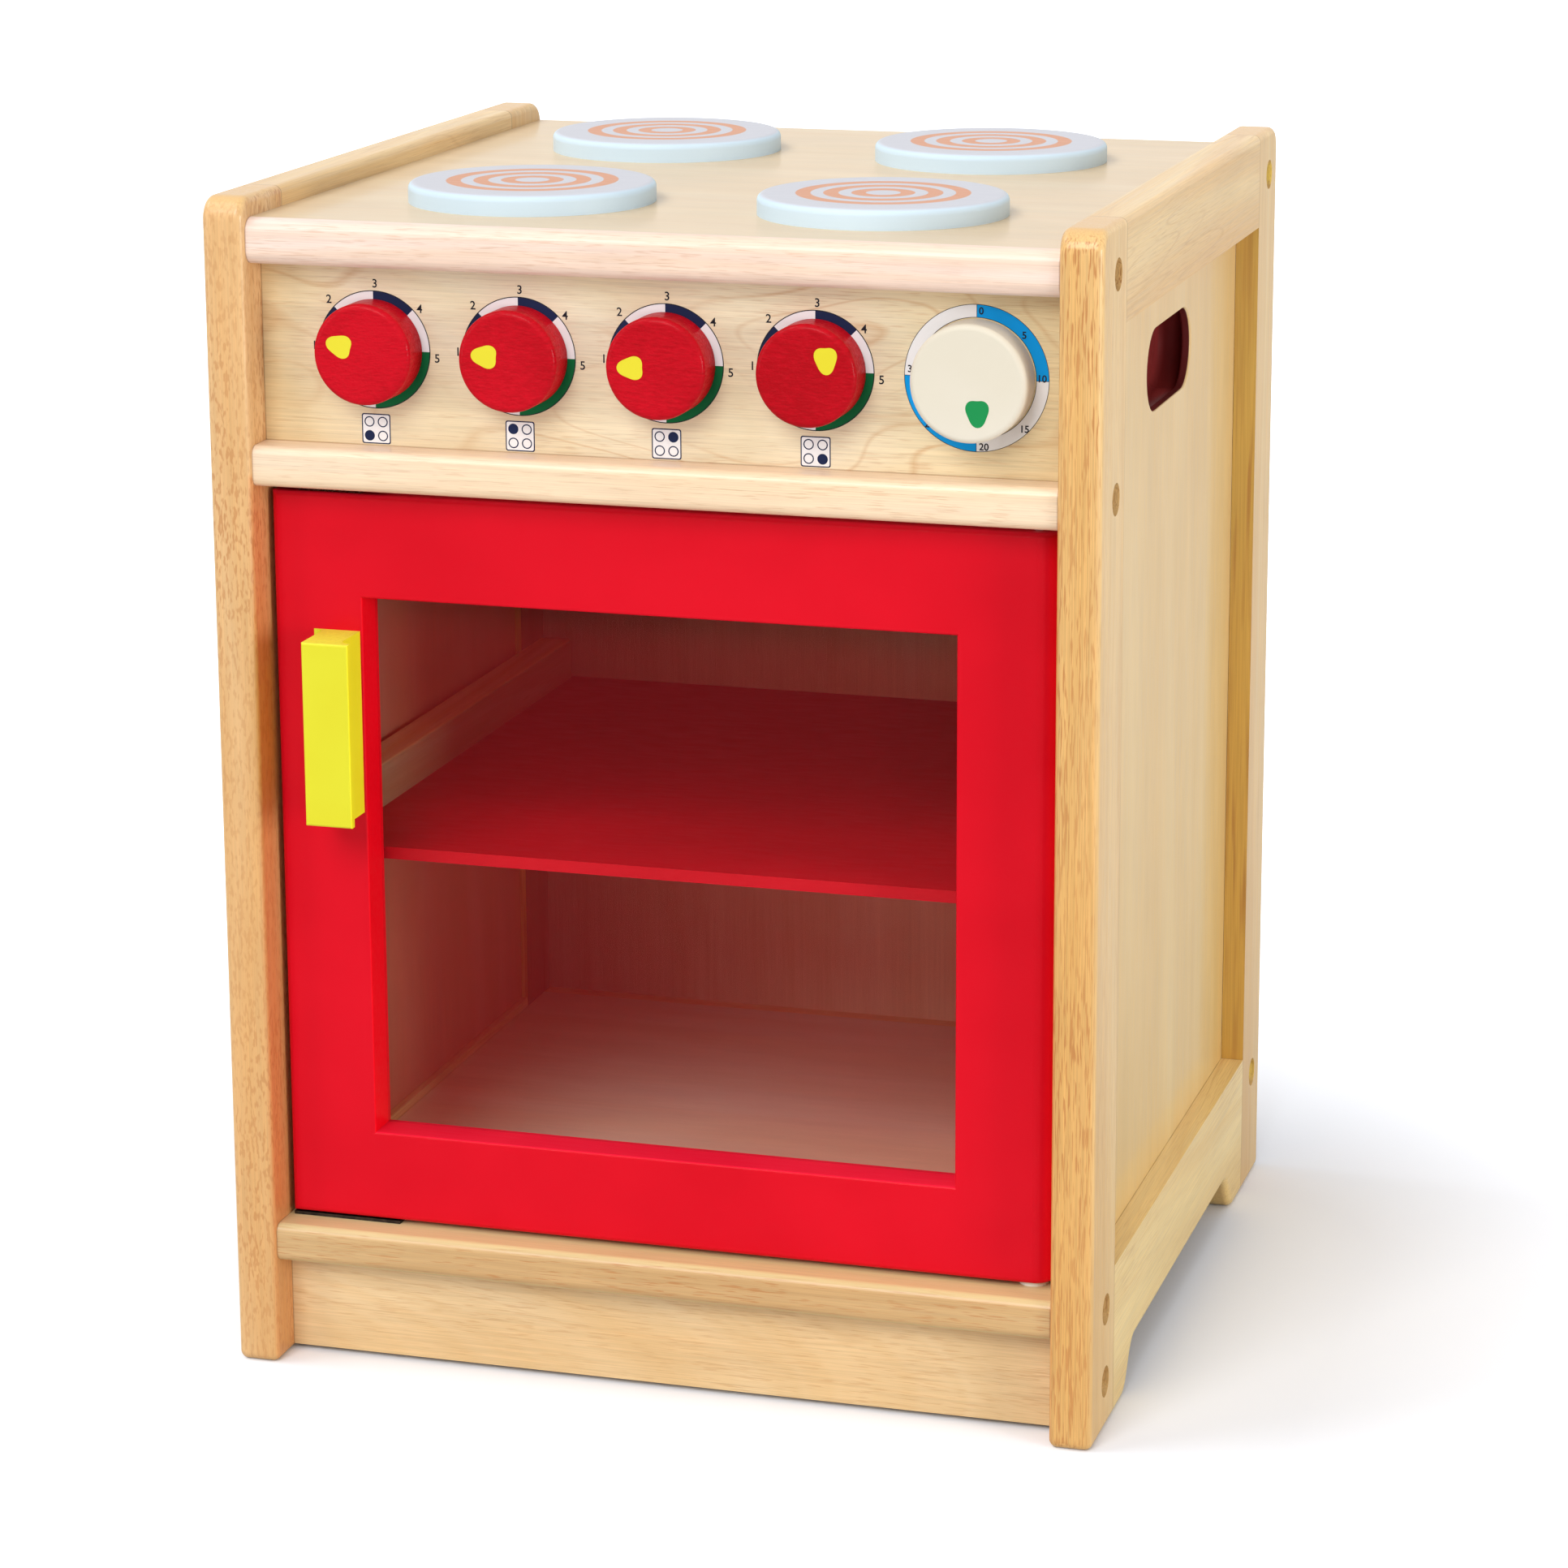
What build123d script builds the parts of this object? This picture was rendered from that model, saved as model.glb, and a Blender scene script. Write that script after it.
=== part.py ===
from build123d import *
import os

# Wooden toy stove: two framed sides, a hob with four discs, a control panel with five knobs,
# and an oven behind a hinged door. Millimetres. X runs to the right, Y to the rear, Z up.
# The origin is the middle of the whole stove's plan, its finger pull included, on the floor.

# Overall sizes. The finger pull stands in front of this depth.
width = 396.0
depth = 380.0
height = 530.0

# Side frames
frame_thickness = 19.0
stile_width = 44.0
top_rail_height = 44.0
bottom_rail_top = 69.5
foot_length = 62.0
arch_height = 20.0
arch_slope_length = 27.0
frame_corner_radius = 10.0
foot_corner_radius = 4.0
frame_edge_radius = 3.5
panel_thickness = 4.5
panel_recess = 11.0
groove_depth = 6.0
groove_clearance = 0.15
hand_hole_length = 94.0
hand_hole_height = 37.0
hand_hole_drop = 83.0
hand_hole_edge_radius = 1.0

# Rails and boards between the sides, measured from the plane of the frames' front edges
rail_setback = 3.0
rail_depth = 42.0
rail_edge_radius = 4.0
hob_drop = 9.0
hob_rail_height = 20.0
hob_rail_edge_radius = 6.0
hob_lip_width = 6.5
hob_board_thickness = 6.0
hob_board_rear_margin = 3.0
control_panel_height = 79.0
middle_rail_height = 18.0
lower_rail_bottom = 48.0
lower_rail_height = 17.5
control_panel_setback = 19.0
control_panel_thickness = 9.0
plinth_thickness = 18.0
plinth_floor_gap = 2.5
rear_rail_inset = 11.0
rear_rail_thickness = 18.0
rear_top_rail_height = 32.0
rear_bottom_rail_height = 35.0
back_panel_thickness = 4.0
oven_board_thickness = 4.0
oven_rebate_width = 10.0
oven_board_clearance = 0.3
ceiling_batten_width = 15.0
ceiling_rear_gap = 3.0

# Shelf in its grooved runners
shelf_rise_share = 0.5
shelf_thickness = 5.5
shelf_setback = 42.0
shelf_clearance = 0.1
runner_width = 16.0
runner_groove_depth = 8.0
runner_lower_height = 15.0
runner_upper_height = 20.0
runner_rear_gap = 3.0
runner_edge_radius = 1.5

# Hob discs
disc_diameter = 109.0
disc_thickness = 9.0
disc_edge_radius = 3.0
disc_across_share = 0.2235
disc_front_row_share = 0.24
disc_rear_row_share = 0.74

# Door
door_setback = 17.5
door_thickness = 19.0
door_top_gap = 4.0
door_bottom_gap = 2.0
door_free_side_gap = 2.3
door_hinge_side_gap = 3.0
door_hinge_edge_radius = 9.0
door_edge_radius = 2.5
window_left_stile = 41.0
window_right_stile = 43.5
window_top_rail = 46.0
window_bottom_rail = 41.0
window_edge_radius = 1.2
pane_thickness = 3.0
pane_front_recess = 15.5
pane_rebate_width = 8.0
pane_clearance = 0.3
bead_width = 14.0
bead_thickness = 3.0
bead_inner_step = 1.5
bead_screw_inset_share = 0.18

# Finger pull
pull_width = 21.5
pull_height = 82.0
pull_depth = 27.5
pull_flare_radius = 5.0
pull_lip_thickness = 3.5
pull_cove_radius = 5.0
pull_edge_radius = 1.0
pull_left_margin = 23.3
pull_top_margin = 60.8
pull_screw_pitch = 50.0
pull_screw_depth = 10.0

# Pivots of the door
pivot_inset = 10.0
pivot_pin_diameter = 6.0
pivot_pin_door_length = 22.0
pivot_running_clearance = 0.05
pivot_end_clearance = 0.5
pivot_bush_diameter = 9.0
pivot_bush_length = 6.0
pivot_washer_diameter = 13.0
pivot_washer_play = 0.2

# Magnetic catches
catch_length = 51.0
catch_width = 14.0
catch_thickness = 1.5
catch_centre_inset = 28.0
catch_front_inset = 1.0
catch_screw_pitch = 38.0
magnet_diameter = 8.0
magnet_length = 4.0
magnet_proud = 0.2
strike_length = 30.0
strike_width = 12.0
strike_thickness = 1.5
stop_block_width = 12.0
stop_block_height = 40.0
stop_block_gap = 0.5
stop_block_rise = 20.0
stop_block_depth = 12.0

# Knobs
heat_knob_diameter = 44.0
timer_knob_diameter = 50.0
knob_depth = 15.5
knob_front_radius = 2.5
knob_back_gap = 0.3
heat_knob_place_shares = (0.1443, 0.3285, 0.5127, 0.6969)
timer_knob_place_share = 0.8916
knob_height_on_panel = 42.0
knob_shoulder_diameter = 6.0
knob_running_clearance = 0.05
knob_thread_diameter = 5.0
knob_thread_length = 10.0
knob_head_diameter = 11.0
knob_head_length = 3.0
knob_washer_diameter = 14.0
knob_washer_thickness = 1.0

# Bolts through the sides into the rails, and the barrel nuts that they pull on
counterbore_diameter = 14.0
counterbore_depth = 8.0
bolt_head_diameter = 12.0
bolt_head_length = 3.5
bolt_socket_size = 5.0
bolt_socket_depth = 2.0
bolt_diameter = 6.0
bolt_hole_clearance = 0.2
bolt_reach = 40.0
barrel_nut_diameter = 9.0
barrel_nut_length = 12.0
barrel_nut_inset = 34.0
barrel_nut_clearance = 0.1
hob_bolt_drop = 12.5
middle_bolt_rise = 10.0
lower_bolt_rise = 7.5
plinth_bolt_height = 22.0

# Dowels of the side frames
dowel_diameter = 6.0
dowel_length = 36.0
dowel_clearance = 0.05
top_dowel_pitch = 24.0
bottom_dowel_pitch = 10.0

# Wood screws
screw_diameter = 3.5
screw_head_diameter = 7.0
screw_tip_length = 2.0
screw_clearance = 0.1
small_screw_diameter = 2.5
small_screw_head_diameter = 5.0
small_screw_length = 9.0
back_screw_length = 14.0
back_screw_margin = 30.0
back_screw_count = 3
disc_screw_length = 12.0

# Every cut runs past its piece by this much
overrun = 1.0

# Places worked out from the sizes
half_width = width / 2
inner_half = half_width - frame_thickness
pull_overhang = pull_depth - door_setback
front = (pull_overhang - depth) / 2
rear = front + depth
rail_rear_setback = rail_setback + rail_depth
hob_top = height - hob_drop
hob_rail_bottom = hob_top - hob_rail_height
hob_board_bottom = hob_top - hob_board_thickness
hand_hole_centre_height = height - hand_hole_drop
middle_rail_top = hob_rail_bottom - control_panel_height
middle_rail_bottom = middle_rail_top - middle_rail_height
lower_rail_top = lower_rail_bottom + lower_rail_height
floor_bottom = lower_rail_top - oven_board_thickness
back_panel_setback = depth - rear_rail_inset
rear_rail_setback = back_panel_setback - rear_rail_thickness
front_bolt_setback = control_panel_setback + plinth_thickness / 2
rear_bolt_setback = back_panel_setback - rear_rail_thickness / 2
window_frame_top = height - top_rail_height
door_left = -inner_half + door_free_side_gap
door_right = inner_half - door_hinge_side_gap
door_bottom = lower_rail_top + door_bottom_gap
door_top = middle_rail_bottom - door_top_gap
door_rear_setback = door_setback + door_thickness
window_left = door_left + window_left_stile
window_right = door_right - window_right_stile
window_bottom = door_bottom + window_bottom_rail
window_top = door_top - window_top_rail
pane_setback = door_setback + pane_front_recess
pivot_x = door_right - pivot_inset
pivot_setback = door_setback + door_thickness / 2
hob_bolt_height = hob_top - hob_bolt_drop
middle_bolt_height = middle_rail_bottom + middle_bolt_rise
lower_bolt_height = lower_rail_bottom + lower_bolt_rise
knob_axis_height = middle_rail_top + knob_height_on_panel
catch_x = -inner_half + catch_centre_inset
catch_setback = door_setback + catch_front_inset + catch_width / 2
runner_inner = inner_half - runner_width
shelf_top = lower_rail_top + shelf_rise_share * (middle_rail_bottom - lower_rail_top)
shelf_bottom = shelf_top - shelf_thickness


def block(x_from, x_to, setback_from, setback_to, z_from, z_to):
    """A rectangular block; set-backs are measured rearwards from the frames' front plane."""
    box = Box(x_to - x_from, setback_to - setback_from, z_to - z_from, align=Align.MIN)
    return Pos(x_from, front + setback_from, z_from) * box


def rod(diameter, length, x, setback, z, direction):
    """A round bar that starts at a place and runs along a direction."""
    start = Plane(origin=(x, front + setback, z), z_dir=direction)
    return start * Cylinder(diameter / 2, length, align=(Align.CENTER, Align.CENTER, Align.MIN))


def ring(outer, inner, length, x, setback, z, direction):
    """A washer or bush that starts at a place and runs along a direction."""
    hole = rod(inner, length, x, setback, z, direction)
    return rod(outer, length, x, setback, z, direction) - hole


def wood_screw(diameter, head_diameter, length, x, setback, z, direction):
    """A countersunk screw whose head is flush at a place and whose tip points along a direction."""
    head_length = (head_diameter - diameter) / 2
    start = Plane(origin=(x, front + setback, z), z_dir=direction)
    profile = Polyline(
        (0, 0),
        (head_diameter / 2, 0),
        (diameter / 2, head_length),
        (diameter / 2, length - screw_tip_length),
        (0, length),
        (0, 0),
    )
    return start * revolve(Plane.XZ * make_face(profile), Axis.Z)


def screw_hole(diameter, head_diameter, length, x, setback, z, direction):
    """The hole that one of the countersunk screws sits in."""
    wide = diameter + 2 * screw_clearance
    wide_head = head_diameter + 2 * screw_clearance
    return wood_screw(wide, wide_head, length + screw_clearance, x, setback, z, direction)


def round_front(shape, radius):
    """Round the long front edges of a rail that lies across the stove."""
    face = shape.faces().sort_by(Axis.Y)[0]
    return fillet(face.edges().filter_by(Axis.X), radius)


def save(name, *solids):
    """Write one node, as one solid or as a group of separate solids."""
    pieces = [solid for shape in solids for solid in shape.solids()]
    export_step(pieces[0] if len(pieces) == 1 else Compound(pieces), f"parts/{name}.step")


def side_frame_blank():
    """The whole right-hand frame in one piece, to be divided into stiles and rails."""
    slope = arch_slope_length / 2
    front_foot = front + foot_length
    rear_foot = rear - foot_length
    line = [
        Line((front, 0), (front_foot, 0)),
        Bezier(
            (front_foot, 0),
            (front_foot + slope, 0),
            (front_foot + slope, arch_height),
            (front_foot + arch_slope_length, arch_height),
        ),
        Line((front_foot + arch_slope_length, arch_height), (rear_foot - arch_slope_length, arch_height)),
        Bezier(
            (rear_foot - arch_slope_length, arch_height),
            (rear_foot - slope, arch_height),
            (rear_foot - slope, 0),
            (rear_foot, 0),
        ),
        Polyline((rear_foot, 0), (rear, 0), (rear, height), (front, height), (front, 0)),
    ]
    outline = make_face(Curve() + line)
    corners = outline.vertices().group_by(Axis.Y)[-1]
    outline = fillet(corners, frame_corner_radius)
    toes = [v for v in outline.vertices().group_by(Axis.Y)[0] if abs(v.X) > rear - foot_length / 2]
    outline = fillet(toes, foot_corner_radius)
    blank = extrude(Plane.YZ.offset(inner_half) * outline, frame_thickness)
    faces = blank.faces().sort_by(Axis.X)
    rims = faces[0].outer_wire().edges() + faces[-1].outer_wire().edges()
    blank = fillet(rims, frame_edge_radius)
    opening = block(
        inner_half - overrun,
        half_width + overrun,
        stile_width,
        depth - stile_width,
        bottom_rail_top,
        window_frame_top,
    )
    groove = side_panel_blank(groove_depth, panel_thickness / 2 + groove_clearance)
    return blank - opening - groove


def side_panel_blank(reach, half_thickness):
    """A slab in the plane of the right-hand panel that reaches into the frame's grooves."""
    middle = half_width - panel_recess - panel_thickness / 2
    return block(
        middle - half_thickness,
        middle + half_thickness,
        stile_width - reach,
        depth - stile_width + reach,
        bottom_rail_top - reach,
        window_frame_top + reach,
    )


def side_panel():
    """The thin right-hand panel with its hand hole."""
    slab = side_panel_blank(groove_depth - groove_clearance, panel_thickness / 2)
    slot = SlotOverall(hand_hole_length, hand_hole_height)
    hole = Plane.YZ.offset(inner_half) * Pos(0, hand_hole_centre_height) * slot
    slab -= extrude(hole, frame_thickness)
    faces = slab.faces().sort_by(Axis.X)
    rims = faces[0].inner_wires()[0].edges() + faces[-1].inner_wires()[0].edges()
    return fillet(rims, hand_hole_edge_radius)


def frame_dowel_places():
    """Set-back and height of the front end of each dowel of one side frame."""
    top_middle = height - top_rail_height / 2
    bottom_middle = (plinth_bolt_height + lower_bolt_height) / 2
    heights = [
        top_middle - top_dowel_pitch / 2,
        top_middle + top_dowel_pitch / 2,
        bottom_middle - bottom_dowel_pitch / 2,
        bottom_middle + bottom_dowel_pitch / 2,
    ]
    starts = [stile_width - dowel_length / 2, depth - stile_width - dowel_length / 2]
    return [(start, z) for start in starts for z in heights]


def right_bolt_places():
    """Set-back, height and barrel nut direction of each bolt of the right-hand side."""
    up = (0, 0, 1)
    forward = (0, -1, 0)
    return [
        (front_bolt_setback, hob_bolt_height, up),
        (front_bolt_setback, middle_bolt_height, up),
        (front_bolt_setback, lower_bolt_height, up),
        (front_bolt_setback, plinth_bolt_height, forward),
        (rear_bolt_setback, hob_bolt_height, forward),
        (rear_bolt_setback, lower_bolt_height, forward),
    ]


def bolt(setback, z):
    """One connector bolt with a hexagon socket, in the right-hand side."""
    inward = (-1, 0, 0)
    seat = half_width - counterbore_depth
    head = rod(bolt_head_diameter, bolt_head_length, seat + bolt_head_length, setback, z, inward)
    socket_plane = Plane(origin=(seat + bolt_head_length, front + setback, z), z_dir=inward)
    socket_face = socket_plane * RegularPolygon(bolt_socket_size / 2, 6, major_radius=False)
    head -= extrude(socket_face, bolt_socket_depth)
    reach = seat - inner_half + bolt_reach
    return head + rod(bolt_diameter, reach, seat, setback, z, inward)


def bolt_hole(setback, z):
    """The counterbored hole of one bolt, through the side and into the rail's end."""
    inward = (-1, 0, 0)
    mouth = half_width + overrun
    counterbore = rod(counterbore_diameter, counterbore_depth + overrun, mouth, setback, z, inward)
    wide = bolt_diameter + 2 * bolt_hole_clearance
    reach = mouth - inner_half + bolt_reach + bolt_hole_clearance
    return counterbore + rod(wide, reach, mouth, setback, z, inward)


def nut_start(setback, z, direction):
    """Where a barrel nut begins, so that the bolt passes through its middle."""
    _, dy, dz = direction
    half = barrel_nut_length / 2
    return inner_half - barrel_nut_inset, setback - dy * half, z - dz * half


def barrel_nut(setback, z, direction):
    """One barrel nut with the bolt's hole across it."""
    x, start, z_start = nut_start(setback, z, direction)
    nut = rod(barrel_nut_diameter, barrel_nut_length, x, start, z_start, direction)
    wide = bolt_diameter + 2 * barrel_nut_clearance
    cross = rod(wide, 2 * barrel_nut_diameter, x + barrel_nut_diameter, setback, z, (-1, 0, 0))
    return nut - cross


def nut_hole(setback, z, direction):
    """The bore that a barrel nut is pushed into, open on its hidden side."""
    x, start, z_start = nut_start(setback, z, direction)
    _, dy, dz = direction
    wide = barrel_nut_diameter + 2 * barrel_nut_clearance
    mouth = barrel_nut_length
    return rod(
        wide,
        barrel_nut_length + mouth + barrel_nut_clearance,
        x,
        start - dy * mouth,
        z_start - dz * mouth,
        direction,
    )


def both_sides(shape):
    """A shape of the right-hand side together with its mirror image."""
    return [shape, mirror(shape, Plane.YZ)]


right_bolt_holes = [bolt_hole(setback, z) for setback, z, _ in right_bolt_places()]
right_nut_holes = [nut_hole(*place) for place in right_bolt_places()]
rail_cuts = [cut for hole in right_bolt_holes + right_nut_holes for cut in both_sides(hole)]


def build_sides():
    dowel_holes = [
        rod(
            dowel_diameter + 2 * dowel_clearance,
            dowel_length + 2 * dowel_clearance,
            half_width - frame_thickness / 2,
            start - dowel_clearance,
            z,
            (0, 1, 0),
        )
        for start, z in frame_dowel_places()
    ]
    frame = side_frame_blank() - right_bolt_holes - dowel_holes
    outside = (inner_half - overrun, half_width + overrun)
    between_stiles = (stile_width, depth - stile_width)
    cutters = {
        "front_stile": block(*outside, 0, stile_width, 0, height),
        "rear_stile": block(*outside, depth - stile_width, depth, 0, height),
        "top_rail": block(*outside, *between_stiles, height / 2, height),
        "bottom_rail": block(*outside, *between_stiles, 0, height / 2),
    }
    pieces = {name: frame & cutter for name, cutter in cutters.items()}
    pieces["panel"] = side_panel()
    for name, piece in pieces.items():
        save(f"right_{name}", piece)
        save(f"left_{name}", mirror(piece, Plane.YZ))
    dowels = [
        rod(dowel_diameter, dowel_length, half_width - frame_thickness / 2, start, z, (0, 1, 0))
        for start, z in frame_dowel_places()
    ]
    save("frame_dowels", *[part for dowel in dowels for part in both_sides(dowel)])
    bolts = [bolt(setback, z) for setback, z, _ in right_bolt_places()]
    save("connector_bolts", *[part for piece in bolts for part in both_sides(piece)])
    nuts = [barrel_nut(*place) for place in right_bolt_places()]
    save("barrel_nuts", *[part for piece in nuts for part in both_sides(piece)])


def knob_places():
    """Name, place across and diameter of each knob."""
    panel_width = 2 * inner_half
    places = [
        (f"heat_knob_{number}", share * panel_width - inner_half, heat_knob_diameter)
        for number, share in enumerate(heat_knob_place_shares, 1)
    ]
    timer_x = timer_knob_place_share * panel_width - inner_half
    return places + [("timer_knob", timer_x, timer_knob_diameter)]


def disc_places():
    """Name, place across and set-back of each hob disc."""
    reach = disc_across_share * 2 * inner_half
    across = {"left": -reach, "right": reach}
    rows = {"front": disc_front_row_share, "rear": disc_rear_row_share}
    return [
        (f"hob_disc_{row}_{side}", across[side], share * depth)
        for row, share in rows.items()
        for side in across
    ]


def build_hob():
    rail = block(-inner_half, inner_half, rail_setback, rail_rear_setback, hob_rail_bottom, hob_top)
    rail = round_front(rail, hob_rail_edge_radius)
    rebate_start = rail_setback + hob_lip_width
    rebate = block(-half_width, half_width, rebate_start, depth, hob_board_bottom, height)
    save("hob_front_rail", rail - rebate - rail_cuts)
    board = block(
        -inner_half,
        inner_half,
        rebate_start,
        depth - hob_board_rear_margin,
        hob_board_bottom,
        hob_top,
    )
    up = (0, 0, 1)
    screw_sizes = (screw_diameter, screw_head_diameter, disc_screw_length)
    screws = []
    for name, x, setback in disc_places():
        disc = rod(disc_diameter, disc_thickness, x, setback, hob_top, up)
        disc = fillet(disc.edges().sort_by(Axis.Z)[-1], disc_edge_radius)
        hole = screw_hole(*screw_sizes, x, setback, hob_board_bottom, up)
        save(name, disc - hole)
        board -= hole
        screws.append(wood_screw(*screw_sizes, x, setback, hob_board_bottom, up))
    save("hob_board", board)
    save("hob_disc_screws", *screws)
    rear_rail = block(
        -inner_half,
        inner_half,
        rear_rail_setback,
        back_panel_setback,
        hob_board_bottom - rear_top_rail_height,
        hob_board_bottom,
    )
    save("hob_rear_rail", rear_rail - rail_cuts - back_screw_holes())


def build_front():
    panel_back = control_panel_setback + control_panel_thickness
    panel = block(
        -inner_half, inner_half, control_panel_setback, panel_back, middle_rail_top, hob_rail_bottom
    )
    bore = knob_shoulder_diameter + 2 * knob_running_clearance
    for _, x, _ in knob_places():
        panel -= rod(bore, control_panel_thickness, x, control_panel_setback, knob_axis_height, (0, 1, 0))
    save("control_panel", panel)
    middle = block(
        -inner_half, inner_half, rail_setback, rail_rear_setback, middle_rail_bottom, middle_rail_top
    )
    rebate_start = rail_rear_setback - oven_rebate_width
    ceiling_rebate = block(
        -half_width,
        half_width,
        rebate_start,
        depth,
        middle_rail_bottom - overrun,
        middle_rail_bottom + oven_board_thickness,
    )
    middle = round_front(middle, rail_edge_radius) - ceiling_rebate - rail_cuts
    save("middle_rail", middle - upper_bush_hole() - catch_screw_holes() - catch_magnets())
    lower = block(
        -inner_half, inner_half, rail_setback, rail_rear_setback, lower_rail_bottom, lower_rail_top
    )
    floor_rebate = block(-half_width, half_width, rebate_start, depth, floor_bottom, height)
    lower = round_front(lower, rail_edge_radius) - floor_rebate - rail_cuts
    save("lower_rail", lower - lower_bush_hole() - catch_screw_holes() - catch_magnets())
    plinth = block(
        -inner_half,
        inner_half,
        control_panel_setback,
        control_panel_setback + plinth_thickness,
        plinth_floor_gap,
        lower_rail_bottom,
    )
    save("plinth_board", plinth - rail_cuts)


def back_screw_places():
    """Place across and height of the screws that hold the back panel."""
    span = inner_half - back_screw_margin
    step = 2 * span / (back_screw_count - 1)
    heights = [
        hob_board_bottom - rear_top_rail_height / 2,
        lower_rail_top - rear_bottom_rail_height / 2,
    ]
    return [(-span + number * step, z) for z in heights for number in range(back_screw_count)]


def back_screw_holes():
    sizes = (small_screw_diameter, small_screw_head_diameter, back_screw_length)
    setback = back_panel_setback + back_panel_thickness
    return [screw_hole(*sizes, x, setback, z, (0, -1, 0)) for x, z in back_screw_places()]


def build_back_and_oven():
    rebate_end = rear_rail_setback + oven_rebate_width
    rail_bottom = lower_rail_top - rear_bottom_rail_height
    rail = block(
        -inner_half, inner_half, rear_rail_setback, back_panel_setback, rail_bottom, lower_rail_top
    )
    rebate = block(-half_width, half_width, 0, rebate_end, floor_bottom, height)
    save("rear_bottom_rail", rail - rebate - rail_cuts - back_screw_holes())
    panel_rear = back_panel_setback + back_panel_thickness
    back = block(
        -inner_half, inner_half, back_panel_setback, panel_rear, rail_bottom, hob_board_bottom
    )
    save("back_panel", back - back_screw_holes())
    sizes = (small_screw_diameter, small_screw_head_diameter, back_screw_length)
    screws = [wood_screw(*sizes, x, panel_rear, z, (0, -1, 0)) for x, z in back_screw_places()]
    save("back_panel_screws", *screws)
    board_half = inner_half - oven_board_clearance
    board_front = rail_rear_setback - oven_rebate_width + oven_board_clearance
    floor = block(
        -board_half,
        board_half,
        board_front,
        rebate_end - oven_board_clearance,
        floor_bottom,
        lower_rail_top,
    )
    save("oven_floor", floor)
    ceiling_top = middle_rail_bottom + oven_board_thickness
    ceiling_rear = back_panel_setback - ceiling_rear_gap
    ceiling = block(
        -board_half, board_half, board_front, ceiling_rear, middle_rail_bottom, ceiling_top
    )
    save("oven_ceiling", ceiling)
    batten = block(
        inner_half - ceiling_batten_width,
        inner_half,
        rail_rear_setback,
        ceiling_rear,
        ceiling_top,
        ceiling_top + ceiling_batten_width,
    )
    save("ceiling_battens", *both_sides(batten))


def build_shelf():
    runner = block(
        runner_inner,
        inner_half,
        shelf_setback,
        back_panel_setback - runner_rear_gap,
        shelf_bottom - runner_lower_height,
        shelf_top + runner_upper_height,
    )
    inner_face = runner.faces().sort_by(Axis.X)[0]
    runner = fillet(inner_face.edges().filter_by(Axis.Y), runner_edge_radius)
    groove = block(
        0,
        runner_inner + runner_groove_depth,
        0,
        depth,
        shelf_bottom - shelf_clearance,
        shelf_top + shelf_clearance,
    )
    runner -= groove
    save("right_shelf_runner", runner)
    save("left_shelf_runner", mirror(runner, Plane.YZ))
    half = runner_inner + runner_groove_depth - shelf_clearance
    shelf = block(-half, half, shelf_setback, back_panel_setback, shelf_bottom, shelf_top)
    save("shelf", shelf)


def lower_bush_hole():
    return rod(pivot_bush_diameter, pivot_bush_length, pivot_x, pivot_setback, lower_rail_top, (0, 0, -1))


def upper_bush_hole():
    return rod(pivot_bush_diameter, pivot_bush_length, pivot_x, pivot_setback, middle_rail_bottom, (0, 0, 1))


def build_pivots():
    bore = pivot_pin_diameter + 2 * pivot_running_clearance
    place = (pivot_x, pivot_setback)
    up = (0, 0, 1)
    down = (0, 0, -1)
    bush_sizes = (pivot_bush_diameter, bore, pivot_bush_length)
    lower_bush = ring(*bush_sizes, *place, lower_rail_top, down)
    upper_bush = ring(*bush_sizes, *place, middle_rail_bottom, up)
    save("pivot_bushes", lower_bush, upper_bush)
    washer_thickness = door_bottom_gap - pivot_washer_play
    save("pivot_washer", ring(pivot_washer_diameter, bore, washer_thickness, *place, lower_rail_top, up))
    engaged = pivot_bush_length - pivot_end_clearance
    lower_length = pivot_pin_door_length + door_bottom_gap + engaged
    upper_length = pivot_pin_door_length + door_top_gap + engaged
    lower_pin = rod(
        pivot_pin_diameter, lower_length, *place, door_bottom + pivot_pin_door_length, down
    )
    upper_pin = rod(pivot_pin_diameter, upper_length, *place, door_top - pivot_pin_door_length, up)
    save("door_pivot_pins", lower_pin, upper_pin)


def catch_levels():
    """Height of each rail face that carries a catch, and the direction towards the door."""
    return [(lower_rail_top, 1), (middle_rail_bottom, -1)]


def catch_screw_places():
    """Place across, height and inward direction of each catch screw."""
    half = catch_screw_pitch / 2
    return [
        (catch_x + side * half, level + sign * catch_thickness, (0, 0, -sign))
        for level, sign in catch_levels()
        for side in (-1, 1)
    ]


def catch_screw_holes():
    sizes = (small_screw_diameter, small_screw_head_diameter, small_screw_length)
    return [screw_hole(*sizes, x, catch_setback, z, way) for x, z, way in catch_screw_places()]


def catch_magnets():
    return [
        rod(
            magnet_diameter,
            magnet_length,
            catch_x,
            catch_setback,
            level + sign * (catch_thickness + magnet_proud),
            (0, 0, -sign),
        )
        for level, sign in catch_levels()
    ]


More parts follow.
